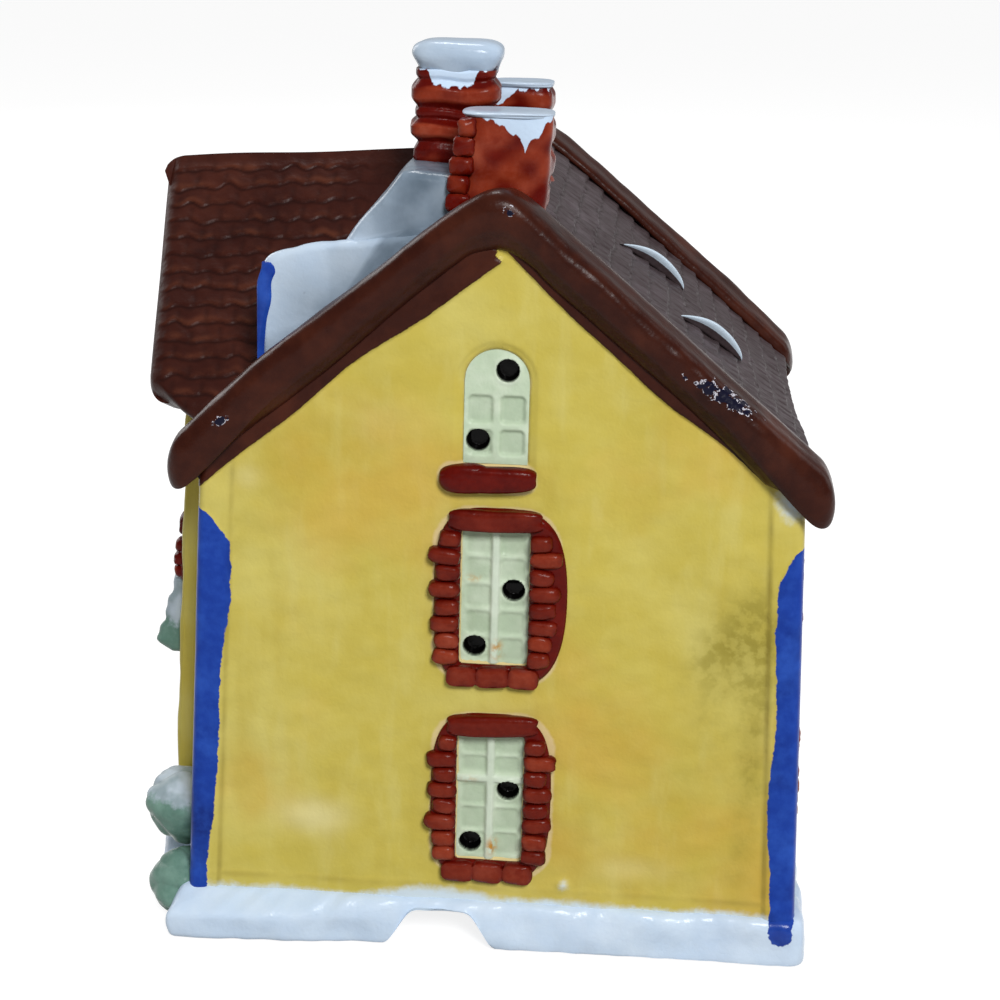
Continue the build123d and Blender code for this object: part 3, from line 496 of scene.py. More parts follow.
def yellow(nodes):
    """Ochre glaze with olive and cream clouds, brushed in soft upright streaks."""
    base = mottled(nodes, ochre_tint, 38.0)
    stretch = {"Vector": nodes.place(), "Scale": (1.0, 1.0, 0.22)}
    upright = nodes.add("ShaderNodeMapping", stretch).outputs["Vector"]
    streak = nodes.step(nodes.noise(210.0, 3, upright), 0.5, 0.75, 0.0, 0.45)
    base = nodes.mix(streak, base, paint(208, 197, 118))
    thin = nodes.step(nodes.noise(120.0, 4, upright), 0.52, 0.75, 0.0, 0.4)
    base = nodes.mix(thin, base, paint(182, 160, 62))
    warm = nodes.step(nodes.noise(24.0, 4), 0.5, 0.72, 0.0, 0.5)
    return nodes.mix(warm, base, paint(205, 162, 70))


def brown(nodes):
    """Chocolate glaze."""
    return mottled(nodes, brown_tint, 90.0)


def wall_colour(nodes):
    """Yellow wall: stains, pale rings round the brickwork, a white foot, brown under the verge, blue corners."""
    base = yellow(nodes)
    stain = nodes.mark("stain")
    cloud = nodes.step(nodes.noise(70.0, 4), 0.2, 0.75)
    grit = nodes.step(nodes.noise(480.0, 4), 0.42, 0.6, 0.6, 1.0)
    dirt = nodes.times(nodes.step(stain, 0.0, 1.0), nodes.times(cloud, grit))
    base = nodes.mix(dirt, base, paint(150, 137, 56))
    base = nodes.mix(nodes.step(stain, 0.0, -1.0, 0.0, 0.7), base, paint(226, 216, 160))
    # Painted shade: a darker line along the sunk field's edges, at the corner strips and near the foot.
    crease_shade = nodes.times(nodes.mark("crease_shade"), nodes.step(nodes.noise(90.0, 3), 0.3, 0.7, 0.15, 0.6))
    base = nodes.mix(crease_shade, base, paint(132, 116, 50))
    ring = stroked(nodes, nodes.sum("SUBTRACT", 0.1, nodes.mark("halo")), 0.3, 0.3)
    base = nodes.mix(nodes.times(ring, 0.6), base, paint(222, 200, 160))
    base = nodes.mix(stroked(nodes, nodes.mark("white"), 0.8, 1.0), base, paint(206, 220, 228))
    base = nodes.mix(stroked(nodes, nodes.mark("brown"), 0.16, 0.08), base, brown(nodes))
    corner = stroked(nodes, nodes.mark("blue"), 0.4, 0.1)
    return nodes.mix(corner, base, mottled(nodes, cobalt_tint, cobalt_scale))


def verge_colour(nodes):
    """Chocolate glaze with ragged patches where it has chipped to dark ground and pale specks."""
    rag = nodes.times(nodes.sum("SUBTRACT", nodes.noise(760.0, 4), 0.5), 4.2)
    chip = nodes.sum("ADD", nodes.mark("chip"), rag)
    pale = nodes.step(nodes.noise(1500.0, 2), 0.5, 0.56)
    base = nodes.mix(nodes.times(nodes.step(chip, 0.0, 0.1), pale), brown(nodes), paint(196, 194, 204))
    return nodes.mix(nodes.step(chip, 0.22, 0.36), base, paint(16, 16, 36))


def wing_roof_colour(nodes):
    """Reddish brown tiles, darker in the joints, with orange brown dry brushing on their lower edges."""
    base = mottled(nodes, wing_tile_tint, 80.0)
    brushed = nodes.times(nodes.mark("edge"), nodes.step(nodes.noise(170.0, 4), 0.42, 0.68))
    base = nodes.mix(nodes.times(brushed, 0.45), base, paint(100, 54, 36))
    return nodes.mix(nodes.times(nodes.mark("joint"), 0.75), base, paint(30, 11, 9))


def main_roof_colour(nodes):
    """Grey brown dry-brushed shingles over a dark ground."""
    base = mottled(nodes, shingle_tint, 150.0)
    return nodes.mix(nodes.times(nodes.mark("joint"), 0.6), base, paint(36, 24, 24))


def brick_colour(nodes):
    """Red bricks, dark red in the joints and orange brown on their tops, with snow painted over them."""
    dark = mottled(nodes, brick_joint_tint, 190.0)
    light = mottled(nodes, brick_top_tint, 190.0)
    base = nodes.mix(nodes.step(nodes.mark("tone"), 0.4, 0.95), dark, light)
    return nodes.mix(stroked(nodes, nodes.mark("snow"), 0.5, 0.12), base, snow_tint[0])


def pane_colour(nodes):
    """Greenish cream glaze with amber smudges, painted shade in the sunk lights and holes, painted highlight on
    the bars.
    """
    base = mottled(nodes, pane_tint, 160.0)
    bar = nodes.mark("bar")
    # Painted shade in the sunk lights and painted highlight on the raised bars, by how far the pane stands out.
    base = nodes.mix(nodes.step(bar, 0.0, 0.6, 0.35, 0.0), base, paint(146, 164, 136))
    base = nodes.mix(nodes.step(bar, 0.6, 1.0, 0.0, 0.5), base, paint(214, 224, 208))
    smudge = nodes.times(nodes.mark("smudge"), nodes.step(nodes.noise(900.0, 3), 0.4, 0.6))
    base = nodes.mix(smudge, base, paint(190, 132, 40))
    # The light holes are painted near black inside: painted shade.
    return nodes.mix(nodes.step(nodes.mark("hole"), -0.12, 0.12), base, paint(6, 5, 5))


def bush_colour(nodes):
    """Grey sage foliage clouded lighter and darker, with thin snow on top."""
    cover = stroked(nodes, nodes.mark("snow"), 1.6, 0.9)
    thin = nodes.mix(nodes.step(nodes.noise(170.0, 3), 0.4, 0.65), paint(150, 166, 172), paint(186, 199, 210))
    return nodes.mix(cover, mottled(nodes, sage_tint, 150.0), thin)


def crest_colour(nodes):
    """A shingled hump with a white painted crest and painted shade on its face under the brim."""
    face = stroked(nodes, nodes.mark("shade"), 0.1, 0.2)
    base = nodes.mix(nodes.times(face, 0.25), main_roof_colour(nodes), paint(42, 30, 30))
    return nodes.mix(stroked(nodes, nodes.mark("snow"), 0.1, 0.08), base, paint(196, 212, 226))


def plain(shades, scale):
    """A plain mottled colour."""
    return lambda nodes: mottled(nodes, shades, scale)


wall_finish = finish("wall_paint", wall_colour, 0.34)
verge_finish = finish("verge_glaze", verge_colour, 0.28, 0.08)
wing_roof_finish = finish("wing_tile_glaze", wing_roof_colour, 0.36)
main_roof_finish = finish("shingle_glaze", main_roof_colour, 0.42)
brick_finish = finish("brick_glaze", brick_colour, 0.24)
pane_finish = finish("pane_glaze", pane_colour, 0.24)
snow_finish = finish("snow_glaze", snow_colour, 0.22, level=0.2)
rim_finish = finish("rim_glaze", rim_colour, 0.22, level=0.2)
bush_finish = finish("bush_glaze", bush_colour, 0.26)
crest_finish = finish("crest_glaze", crest_colour, 0.32)
blue_finish = finish("blue_glaze", plain(cobalt_tint, cobalt_scale), 0.2)
door_finish = finish("door_glaze", plain(door_tint, 200.0), 0.25)


# Walls

def wall_relief(a, b, side, seed, windows):
    """How far a wall stands out: hand-made unevenness, round corners, openings sunk in two soft steps."""
    flat = np.stack(np.broadcast_arrays(a, 0 * a, b), -1)
    h = 0.2 * uneven(flat, 19, seed) + 0.06 * uneven(flat, 5, seed + 1)
    corner = 1.6
    near = np.clip(1 - side / corner, 0, 1)
    h = h - corner * (1 - np.sqrt(1 - near**2))
    for window in windows:
        beyond = beyond_window(a, b, window)
        h = h - 0.9 * ease(0.4, -0.25, beyond) - 3.6 * ease(-0.3, -0.9, beyond)
    return h


def gable_wall(face, seed):
    """A gable: columns run straight from the foot to the roof line; the corners are raised beside a sunk field."""
    columns = np.linspace(-1, 1, 281)[:, None]
    rows = np.linspace(0, 1, 301)[None, :]
    top_a = columns * eave_half
    top_b = under_ridge + 4.4 - slope * np.abs(top_a)
    a = columns * foot_half + (top_a - columns * foot_half) * rows
    b = wall_foot + (top_b - wall_foot) * rows
    side = (1 - np.abs(columns)) * foot_half + 0 * rows
    h = wall_relief(a, b, side, seed, (attic, middle, lower))
    h = h + 0.55 * ease(6.0, 4.9, from_corner(a, b)) * ease(strip_top + 8, strip_top + 2, b)
    h = h + 0.3 * ease(12.0, 10.2, b)
    h = h + 0.25 * ease(-0.3, 0.3, blue_edge(a, b)) - 0.4 * ease(1.6, 0.6, beyond_window(a, b, attic))
    h = h + 0.65 * ease(-0.3, 0.25, band_edge(a, b)) + 0.6 * bell(a, b, *foot_blob, 1.1, 0.9)
    points, quads = plate(on(face, a, b, h), -wall_plate * face.out)
    points[a.size:] -= 0.012 * ((points[a.size:] - face.origin) @ face.across)[:, None] * face.across
    return points, quads


def from_corner(a, b):
    """Distance of a place on a gable from its nearer leaning edge."""
    return foot_half - lean * (b - base_height) - np.abs(a)


def band_edge(a, b):
    """Distance inside the brown band under the verge: two strips below the roof lines, the right one shorter."""
    left = (verge_top + slope * a - b) * cos(roof_pitch)
    right = (verge_top - slope * a - b) * cos(roof_pitch)
    wave = 0.18 * np.sin(a / 3.1) + 0.15 * np.sin(a / 7.3 + 1)
    left_foot = 7.1 + 1.7 * ease(-26, -4, a) + wave - left
    right_foot = 7.5 + 1.3 * ease(0, 15, a) - 1.2 * ease(26, 42, a) + wave - right
    brush_end = -0.75 * a - 0.66 * (b - 121.8) + 0.5 * np.sin(2.6 * b)
    return np.maximum(np.minimum(left_foot, brush_end), np.minimum(right_foot, np.minimum(a + 2.4, 43.6 - a)))


def blue_edge(a, b):
    """Distance inside the blue corner strokes: a width that waves with height, rounded off at the top."""
    left = 4.7 + 0.6 * ease(30, 70, b) - 1.9 * ease(24, 10, b)
    left = left + 0.35 * np.sin(b / 4.6) + 0.3 * np.sin(b / 9.5 + 1)
    right = 4.6 - 0.9 * ease(50, 74, b) + 0.4 * np.sin(b / 5.2 + 2) + 0.3 * np.sin(b / 11.0)
    width = np.where(a < 0, left, right)
    end = strip_top + np.where(a < 0, 1.0, -1.5)
    return width * np.sqrt(np.clip((end - b) / 6, 0, 1)) - from_corner(a, b) - np.maximum(b - end, 0)


def gable_marks(face):
    """Paint values of a gable, each worked out from the place on the wall."""
    def placed(value):
        return lambda points: value(*measured(face, points)[:2])

    def foot(a, b):
        line = 8.9 + 1.4 * np.exp(-(((a + 9) / 8) ** 2)) + 0.5 * np.sin(a / 6.1) * np.sin(a / 15.0)
        spot = 0.9 - np.hypot((a - 48.6) / 3.0, (b - 84.4) / 3.2)
        bump = 0.7 - np.hypot(a - foot_blob[0], b - foot_blob[1])
        return np.maximum(np.maximum(line - b, 2.0 * spot), bump)

    def halo(a, b):
        rings = [
            beyond_box(a - w.x - 0.3, b - w.z, w.width / 2 + 4.9, w.height / 2 + 4.0, 6.5) for w in (middle, lower)
        ]
        sill = beyond_box(a + 2.0, b - 85.9, 8.1, 2.6, 2.2)
        return np.minimum(np.minimum(*rings), np.minimum(sill, beyond_window(a, b, attic)))

    # Painted shade along the raised corner strips' inner edges and along the step near the foot.
    def crease_shade(a, b):
        side = np.exp(-(((from_corner(a, b) - 5.5) / 0.45) ** 2)) * ease(92, 80, b)
        foot_line = 0.7 * np.exp(-(((b - 10.9) / 0.6) ** 2)) * ease(52, 46, np.abs(a))
        return np.maximum(side, foot_line)

    def stain(a, b):
        spots = (
            (38, 53, 6, 10, 1.0), (43, 63, 4, 7, 0.8), (44.5, 45, 2.5, 20, 0.8), (35, 34, 7, 9, 0.3),
            (43, 22, 3, 9, 0.5), (-44, 40, 3, 20, 0.25), (30, 70, 9, 6, 0.25), (6, 110, 5, 6, 0.2),
            (-44, 74, 4, 8, 0.35), (-31, 23, 7, 4, -0.8), (40, 47, 3, 3, -0.4), (-20, 95, 10, 5, -0.25),
            (-30, 60, 8, 10, -0.15), (-42, 84, 3, 3, -0.5), (16, 24, 3, 7, 0.3), (24, 16, 8, 3, -0.4),
        )
        return sum(depth * bell(a, b, *place) for *place, depth in spots)

    return {
        "blue": placed(blue_edge), "brown": placed(band_edge), "white": placed(foot),
        "halo": placed(halo), "crease_shade": placed(crease_shade), "stain": placed(stain),
    }


def side_wall(face, left, right, top, seed, windows, free):
    """A wall between two upright edges, up to a roof line; its edges are rounded where they are free."""
    share = np.linspace(0, 1, 121)[:, None]
    rows = np.linspace(0, 1, 161)[None, :]
    foot_a = left(wall_foot) + (right(wall_foot) - left(wall_foot)) * share
    top_b = top(foot_a)
    b = wall_foot + (top_b - wall_foot) * rows
    a = left(b) + (right(b) - left(b)) * share
    side = np.minimum(a - left(b), right(b) - a) if free else np.inf
    return plate(on(face, a, b, wall_relief(a, b, side, seed, windows)), -wall_plate * face.out)


def side_marks(face, corners):
    """Paint values of a side wall: a white foot, and blue strokes that turn the house's corners."""
    def blue(points):
        a, b, _ = measured(face, points)
        width = 5.0 + 0.5 * np.sin(b / 5.2 + a) + 0.4 * np.sin(b / 11.0)
        end = strip_top - 0.5
        return width * np.sqrt(np.clip((end - b) / 6, 0, 1)) - half_depth + np.abs(a) - np.maximum(b - end, 0)

    def white(points):
        a, b, _ = measured(face, points)
        return 9.1 + 0.6 * np.sin(a / 6.1) * np.sin(a / 15.0 + 1) - b

    return {
        "blue": blue if corners else unpainted, "white": white, "brown": unpainted,
        "halo": -unpainted, "stain": 0.0, "crease_shade": 0.0,
    }


def fixed(value):
    """An upright edge, or a level top, at one place."""
    return lambda b: value + 0 * b


def wing_line(a):
    """Height of the wing roof's underside above the wing's front wall."""
    return 125.2 - tan(wing_pitch) * np.abs(a)


def wing_edge(b):
    """Where the wing's front stands at a height, from the ridge line."""
    return lean * (b - base_height) - wing_foot


for name, face, seed, replaced in (
    ("near", near_face, 3, ["near_gable_wall", "corner_strips"]), ("far", far_face, 13, ["far_gable_wall"]),
):
    piece(f"gable_{name}", [gable_wall(face, seed)], wall_finish, replaced, gable_marks(face))

side_reach = half_depth - 3.0
side_top = fixed(eave_z + 2.5)
wing_root = 48.0
wing_side_top = fixed(95.0)
for name, node, face, left, right, top, seed, windows in (
    ("right", "right_wall", right_face, fixed(-side_reach), fixed(side_reach), side_top, 23, right_windows),
    ("left_near", "left_wall_near", left_face, fixed(wing_half - 1), fixed(side_reach), side_top, 33, ()),
    ("left_far", "left_wall_far", left_face, fixed(-side_reach), fixed(1 - wing_half), side_top, 43, ()),
    ("wing_front", "wing_front_wall", front_face, fixed(-wing_half), fixed(wing_half), wing_line, 53,
     (*wing_windows, door)),
    ("wing_near", "wing_near_wall", wing_near_face, lambda b: wing_edge(b) + 0.8, fixed(-wing_root),
     wing_side_top, 63, ()),
    ("wing_far", "wing_far_wall", wing_far_face, fixed(wing_root), lambda b: -wing_edge(b) - 0.8,
     wing_side_top, 73, ()),
):
    wall = side_wall(face, left, right, top, seed, windows, face is front_face)
    corners = face is right_face or face is left_face
    piece(f"wall_{name}", [wall], wall_finish, [node], side_marks(face, corners))


# Windows and brickwork

def pane(face, window, seed):
    """A cast pane: rows of sunk lights in pairs, a raised middle bar and cross bar, and round light holes."""
    columns = np.linspace(-1, 1, 57)[:, None]
    rows = np.linspace(0, 1, 101)[None, :]
    half = window.width / 2
    foot = -window.height / 2
    top = window.height / 2 - (half - half * np.sqrt(1 - columns**2) if window.arched else 0 * columns)
    a = columns * half + 0 * rows
    b = foot + (top - foot) * rows
    sunk = np.zeros(a.shape)
    for low, high in window.lights:
        middle_b = (low + high - 1) / 2 * window.height
        half_b = (high - low) / 2 * window.height
        light = beyond_box(np.abs(a) - 0.5 * half, b - middle_b, 0.36 * half, half_b, 0.7)
        sunk = np.maximum(sunk, ease(0.45, -0.4, light))
    bar = window.bar * ease(1.0, 0.35, np.abs(a))
    if window.cross:
        bar = np.maximum(bar, window.bar * ease(0.9, 0.35, np.abs(b - (window.cross - 0.5) * window.height)))
    flat = np.stack([a, 0 * a, b], -1)
    h = bar - window.depth * sunk - 0.7 + 0.06 * uneven(flat, 3.5, seed)
    for u, v in window.holes:
        away = np.hypot(a - u * window.width, b - v * window.height)
        h = h + 0.15 * np.exp(-(((away - 2.1) / 0.4) ** 2)) - 2.5 * ease(1.95, 1.6, away)
    return plate(on(face, a + window.x, b + window.z, h), -4.0 * face.out)


def pane_marks(face, windows):
    """Paint values of panes: painted shade in the light holes, amber smudges, and how far the bars stand out."""
    def hole(points):
        a, b, _ = measured(face, points)
        return np.max([
            1.92 - np.hypot(a - w.x - u * w.width, b - w.z - v * w.height) for w in windows for u, v in w.holes
        ], axis=0)

    def smudge(points):
        a, b, _ = measured(face, points)
        spots = [
            bell(a - w.x, b - w.z, 0.5, -0.4 * w.height, 0.9, 1.4)
            + 0.5 * bell(a - w.x, b - w.z, -3.6, 0.13 * w.height, 1.2, 0.6)
            for w in windows if not w.arched
        ] or [0 * a]
        return np.max(spots, axis=0)

    # How far the pane stands out, which sets painted shade in the sunk lights and painted highlight on the bars.
    def bar(points):
        return ease(-1.2, -0.3, measured(face, points)[2])

    return {"hole": hole, "smudge": smudge, "bar": bar}


def lump(face, a, b, h, half_a, half_b, half_h, turn=0.0, power=4.0, seed=0, rough=0.03, around=22, along=11):
    """A pillow: a squared ball, sized, turned in the wall's plane and a little uneven."""
    ball = squared(ball_ways(around, along)[1], power)
    ball = ball * (1 + rough * uneven(ball * 5 + seed, 6, seed))[..., None]
    x, y = ball[..., 0] * half_a, ball[..., 1] * half_b
    place_a = a + x * cos(turn) - y * sin(turn)
    place_b = b + x * sin(turn) + y * cos(turn)
    rings = on(face, place_a, place_b, h + ball[..., 2] * half_h)
    return rings.reshape(-1, 3), grid_quads(along, around, round_columns=True)


def brick_bed(face, window, seed, sill, bulge, proud):
    """The mortar bed: a round-edged ring from the opening out to a rounded outline fuller on one side."""
    theta = np.linspace(0, 2 * pi, 144, endpoint=False)[:, None]
    way = np.stack([np.cos(theta), np.sin(theta)], -1)
    inner = squared(way, 30) * [window.width / 2 + 0.1, window.height / 2 + 0.1]
    outer = squared(way, 3.4) * [window.width / 2 + 4.5, window.height / 2 + (4.0 if sill else 3.7)]
    outer = outer + np.where(outer[..., :1] > 0, bulge * np.cos(theta)[..., None] ** 2, 0) * [1, 0]
    if not sill:
        outer[..., 1] = np.maximum(outer[..., 1], -window.height / 2 - 0.05)
    phi = np.linspace(0, 2 * pi, 16, endpoint=False)
    around = squared(np.stack([np.cos(phi), np.sin(phi)], -1), 3)
    share = (0.5 + 0.5 * around[:, 0])[None, :, None]
    spot = inner + (outer - inner) * share
    flat = np.concatenate([spot, 0 * spot[..., :1]], -1)
    h = 0.2 + 0.9 * proud * around[:, 1][None, :] + 0.15 * uneven(flat, 5, seed)
    return closed_ring(on(face, spot[..., 0] + window.x, spot[..., 1] + window.z, h))


def surround(face, window, seed, sill=True, rows=8, bulge=0.0, proud=1.0):
    """Bricks round an opening: long and short blocks in turn, a lintel and a sill, merged in their bed."""
    rng = np.random.default_rng(seed)
    shells = [brick_bed(face, window, seed, sill, bulge, proud)]
    pitch = window.height / rows
    foot = window.z - window.height / 2
    for i in range(rows):
        for side in (-1, 1):
            half = (2.6 if i % 2 == 0 else 2.2) + rng.uniform(-0.2, 0.2) - (0.5 if i in (0, rows - 1) else 0)
            away = window.width / 2 + 0.05 + half
            z = foot + (i + 0.5) * pitch + rng.uniform(-0.12, 0.12)
            thick = (1.5 + rng.uniform(-0.2, 0.2)) * proud
            shells.append(lump(face, window.x + side * away, z, 0.75 * proud, half, pitch * 0.48, thick,
                               rng.uniform(-0.09, 0.09), 3.8, seed + i, 0.06))
    x = window.x + rng.uniform(-0.3, 0.3)
    lintel = window.z + window.height / 2 + 2.0
    shells.append(lump(face, x, lintel, 0.8 * proud, window.width / 2 + 2.0, 1.85, 1.3 * proud,
                       rng.uniform(-0.03, 0.03), 5.0, seed + 40, 0.05, 48, 15))
    for share in (-1, 0, 1) if sill else ():
        half = window.width / 6 + 0.9 + rng.uniform(-0.2, 0.2)
        x = window.x + share * 2 * (window.width / 6 + 0.7)
        shells.append(lump(face, x, foot - 2.0, 0.8 * proud, half, 1.85, 1.2 * proud,
                           rng.uniform(-0.06, 0.06), 5.0, seed + 41, 0.05))
    return shells


def surrounds(face, windows, seed, **settings):
    """Brickwork round several windows of one wall."""
    return sum((surround(face, w, seed + 9 * i, **settings) for i, w in enumerate(windows)), [])


def bricks(name, face, shells, seed, nodes, light=1.0):
    """A brick piece: dark in its joints, each brick lighter towards its top in its own tone."""
    own = tones(shells, seed)

    def tone(points):
        height = measured(face, points)[2]
        return 0.36 + light * (0.16 + 0.4 * own) * ease(0.45, 0.95, height / height.max())

    piece(name, shells, brick_finish, nodes, {"tone": tone, "snow": unpainted})


for place, face, shift in (("near", near_face, 0), ("far", far_face, 100)):
    for level, window in (("attic", attic), ("middle", middle), ("lower", lower)):
        piece(f"{place}_{level}_pane", [pane(face, window, 5 + shift)], pane_finish,
              [f"{place}_{level}_window"], pane_marks(face, [window]))
    for level, window, bulge in (("middle", middle, 2.0), ("lower", lower, 0.4)):
        shells = surround(face, window, 60 + shift + int(window.z), bulge=bulge)
        bricks(f"{place}_{level}_bricks", face, shells, 8 + shift, [f"{place}_{level}_surround"])
    bricks(f"{place}_attic_ledge", face, [
        lump(face, -1.8, 85.9, 0.9, 8.0, 2.2, 1.5, 0.02, 3.4, 7 + shift, 0.06, 48, 17),
        lump(face, -5.4, 85.9, 0.85, 4.5, 2.55, 1.6, 0.03, 2.6, 9 + shift, 0.04, 48, 17),
    ], 4 + shift, [f"{place}_attic_sill"], light=0.3)

wing_heads = [w._replace(z=60.95, height=7.3) for w in wing_windows]
for name, face, windows, seed, shells, brick_seed in (
    ("right", right_face, right_windows, 15, surrounds(right_face, right_windows, 210, proud=0.75), 18),
    ("wing", front_face, wing_windows, 25, surrounds(front_face, wing_heads, 310, sill=False, rows=3), 28),
):
    piece(f"{name}_panes", [pane(face, w, seed + i) for i, w in enumerate(windows)], pane_finish,
          [f"{name}_windows"], pane_marks(face, windows))
    bricks(f"{name}_bricks", face, shells, brick_seed, [f"{name}_surrounds"])
bricks("door_bricks", front_face, surround(front_face, door, 410, False, 7), 38, ["door_surround"])


def door_leaf():
    """A boarded door: four raised fields and upright board joints; its round knob is a lump added with it."""
    a = np.linspace(-6, 6, 61)[:, None]
    b = np.linspace(-12.5, 12.5, 101)[None, :]
    field = beyond_box(np.abs(a) - 3.0, np.abs(b) - 6.25, 2.1, 4.4, 0.6)
    h = -0.9 + 0.5 * ease(0.35, -0.2, field) - 0.2 * ease(0.0, -0.9, field + 0.9)
    flat = np.stack(np.broadcast_arrays(a, 0 * a * b, b), -1)
    h = h + 0.05 * uneven(flat, 4, 71) - 0.12 * np.exp(-((np.mod(a + 0.75, 1.5) - 0.75) / 0.12) ** 2)
    return plate(on(front_face, a + 0 * b, b + door.z + 0 * a, h), -2.2 * front_face.out)


piece("door_leaf", [door_leaf(), lump(front_face, 4.2, door.z, -0.2, 0.9, 0.9, 0.9, power=2.0, seed=3)],
      door_finish, ["front_door"])
slab = lump(table_face, -wing_foot - 0.7, half_depth, base_height + 0.8, 1.75, 9.5, 1.45, 0, 7, 5, 0.02, 48, 17)
piece("door_slab", [slab], snow_finish, ["door_step"])


def planter(y, seed):
    """A window box of snowy greenery: a side outline, widest near its foot, carried across to round ends."""
    side = cut_corners([
        (-0.4, 42.3), (2.6, 42.0), (4.7, 43.4), (4.9, 45.4), (4.2, 49.5),
        (3.2, 53.6), (2.5, 56.8), (0.8, 57.6), (-0.4, 57.2),
    ], 3)
    a, draw = round_ends(8.4, 2.2, 61, 8, 0.001)
    heart_out, heart_b = 0.4, 49.5
    out = heart_out + (side[None, :, 0] - heart_out) * draw
    b = heart_b + (side[None, :, 1] - heart_b) * (0.75 + 0.25 * draw)
    rings = on(front_face, a + y + 0 * b, b, out)
    swell = 0.8 * uneven(rings, 7, seed) + 0.4 * uneven(rings, 3.2, seed + 1)
    return closed_tube(on(front_face, a + y + 0 * b, b, out + swell * ease(0.2, 1.6, out)))


piece("planters", [planter(wing_window_y, 81), planter(-wing_window_y, 91)], bush_finish,
      ["window_boxes"], {"snow": lambda points: points[:, 2] - 48.6 + 2.0 * uneven(points, 5.0, 97)})


# Roofs and verges

def tile_relief(along, down, course, width, wave, seed):
    """Soft tile courses: a rising tooth down the slope with a waved lower edge and faint grooves between tiles."""
    flat = np.stack([along, 0 * along, down], -1)
    drift = uneven(flat, 26, seed)
    edge = wave * np.cos(2 * pi * along / width + 3.0 * drift) * (1 + 1.4 * uneven(flat, 9, seed + 3))
    edge = edge + 0.4 * uneven(flat, 10, seed + 1) + 0.3 * uneven(flat, 4.5, seed + 4)
    q = (down + edge) / course
    row = np.floor(q)
    part = q - row
    g = along / width + 0.5 * np.mod(row, 2) + 0.15 * drift
    joint = np.exp(-(((g - np.floor(g) - 0.5) / 0.1) ** 2)) * ease(0.1, 0.4, part)
    tooth = part**1.2 * ease(1.0, 0.86, part)
    h = tooth - 0.25 * joint + 0.12 * uneven(flat, 3, seed + 2)
    dark = np.clip(np.maximum(np.maximum(1 - part / 0.18, (part - 0.94) / 0.06), 0.45 * joint), 0, 1)
    return h, dark, ease(0.45, 0.8, part) * ease(0.98, 0.88, part)


def face_only(values, shell):
    """Paint values of a plate's face, with nothing on its rim and back."""
    return np.concatenate([values.ravel(), np.zeros(len(shell[0]) - values.size)])


def on_main_roof(side, s, y, h):
    """Points on a main slope: s down it from the ridge, y along it and h out of it."""
    x = s * cos(roof_pitch) + h * sin(roof_pitch)
    return np.stack([side * x, y, ridge_z - s * sin(roof_pitch) + h * cos(roof_pitch)], -1)


def main_slope(side, seed):
    """One main slope: shingle courses over a plane of the main pitch, its eave a little hollow."""
    y = np.linspace(0.3, wall_depth - 0.3, 231)[:, None]
    length = roof_half_span / cos(roof_pitch) - 1.5 * np.sin(pi * y / wall_depth)
    s = np.linspace(0, 1, 221)[None, :] * length
    y = y + 0 * s
    h, dark, _ = tile_relief(y, s, 4.33, 4.6, 0.25, seed)
    h = 0.55 * h + 0.25 * uneven(np.stack([0 * s, y, s], -1), 30, seed + 5)
    h = h - 1.2 * ease(1.2, 0.0, length - s)
    back = np.array([-side * sin(roof_pitch), 0, -cos(roof_pitch)]) * roof_plate
    shell = plate(on_main_roof(side, s, y, h), back)
    return shell, {"joint": face_only(dark, shell)}


for name, side, seed in (("right", 1, 130), ("left", -1, 140)):
    shell, marks = main_slope(side, seed)
    piece(f"main_tiles_{name}", [shell], main_roof_finish, [f"main_roof_{name}"], marks, 65)


def wing_slope(side, seed):
    """One wing slope: waved tile courses on a plane that falls from the drooping ridge, its end slanting in."""
    length = wing_half_span / cos(wing_pitch)
    v = np.linspace(0, 1, 181)[None, :] * length
    slant = (wing_slant - 0.6) * v / length
    end = (wing_reach + 0.9 - slant + v * sin(wing_droop) * sin(wing_pitch)) / cos(wing_droop)
    corner = np.clip(1 - (length - v) / 5.0, 0, 1)
    end = end - 3.2 * (1 - np.sqrt(1 - corner**2))
    u = np.linspace(0.02, 1, 201)[:, None] * end
    length = length * (1 + 0.08 * ease(0.5, 7, end - u))
    v = v / v.max() * length
    h, dark, edge = tile_relief(u, v, 3.6, 5.0, 0.2, seed)
    worn = 1 - 0.9 * ease(36, 22, u) * ease(24, 9, v)
    smooth = ease(0.6, 3.2, v) * ease(0.8, 3.0, end - u) * worn
    past_u, past_v = np.clip(1 - (end - u) / 3.6, 0, 1), np.clip(1 - (length - v) / 3.2, 0, 1)
    round_end = np.clip(np.hypot(past_u, past_v), 0, 1)
    h = 0.36 * h * smooth + 0.3 * uneven(np.stack([u, 0 * u, v], -1), 28, seed + 5)
    h = h + 0.4 - 3.4 * (1 - np.sqrt(1 - round_end**2)) + 1.9 * (1 - u / end) * ease(30, 0, v)
    ridge = np.array([-cos(wing_droop), 0, -sin(wing_droop)])
    down = np.array([
        sin(wing_droop) * sin(wing_pitch), side * cos(wing_pitch), -cos(wing_droop) * sin(wing_pitch)
    ])
    out = np.cross(ridge, down) * -side
    points = np.array([0, half_depth, wing_ridge_z]) + u[..., None] * ridge + v[..., None] * down
    points, quads = plate(points + h[..., None] * out, -roof_plate * out)
    middle_back = points[u.size:].mean(0)
    points[u.size:] = middle_back + 0.955 * (points[u.size:] - middle_back)
    shell = points, quads
    return shell, {"joint": face_only(dark * smooth, shell), "edge": face_only(edge * smooth, shell)}


for name, side, seed in (("near", -1, 150), ("far", 1, 160)):
    shell, marks = wing_slope(side, seed)
    piece(f"wing_tiles_{name}", [shell], wing_roof_finish, [f"wing_roof_{name}"], marks, 65)

verge_section = [
    (-8.0, -2.3), (-8.0, -0.9), (-7.0, -0.2), (-3.0, 0.1), (1.2, 0.1), (3.2, -0.4), (4.0, -1.7), (4.0, -3.2),
    (3.6, -4.5), (3.0, -5.2), (2.3, -5.9), (1.5, -6.8), (0.5, -7.4), (-0.8, -7.4), (-0.8, -2.8),
]


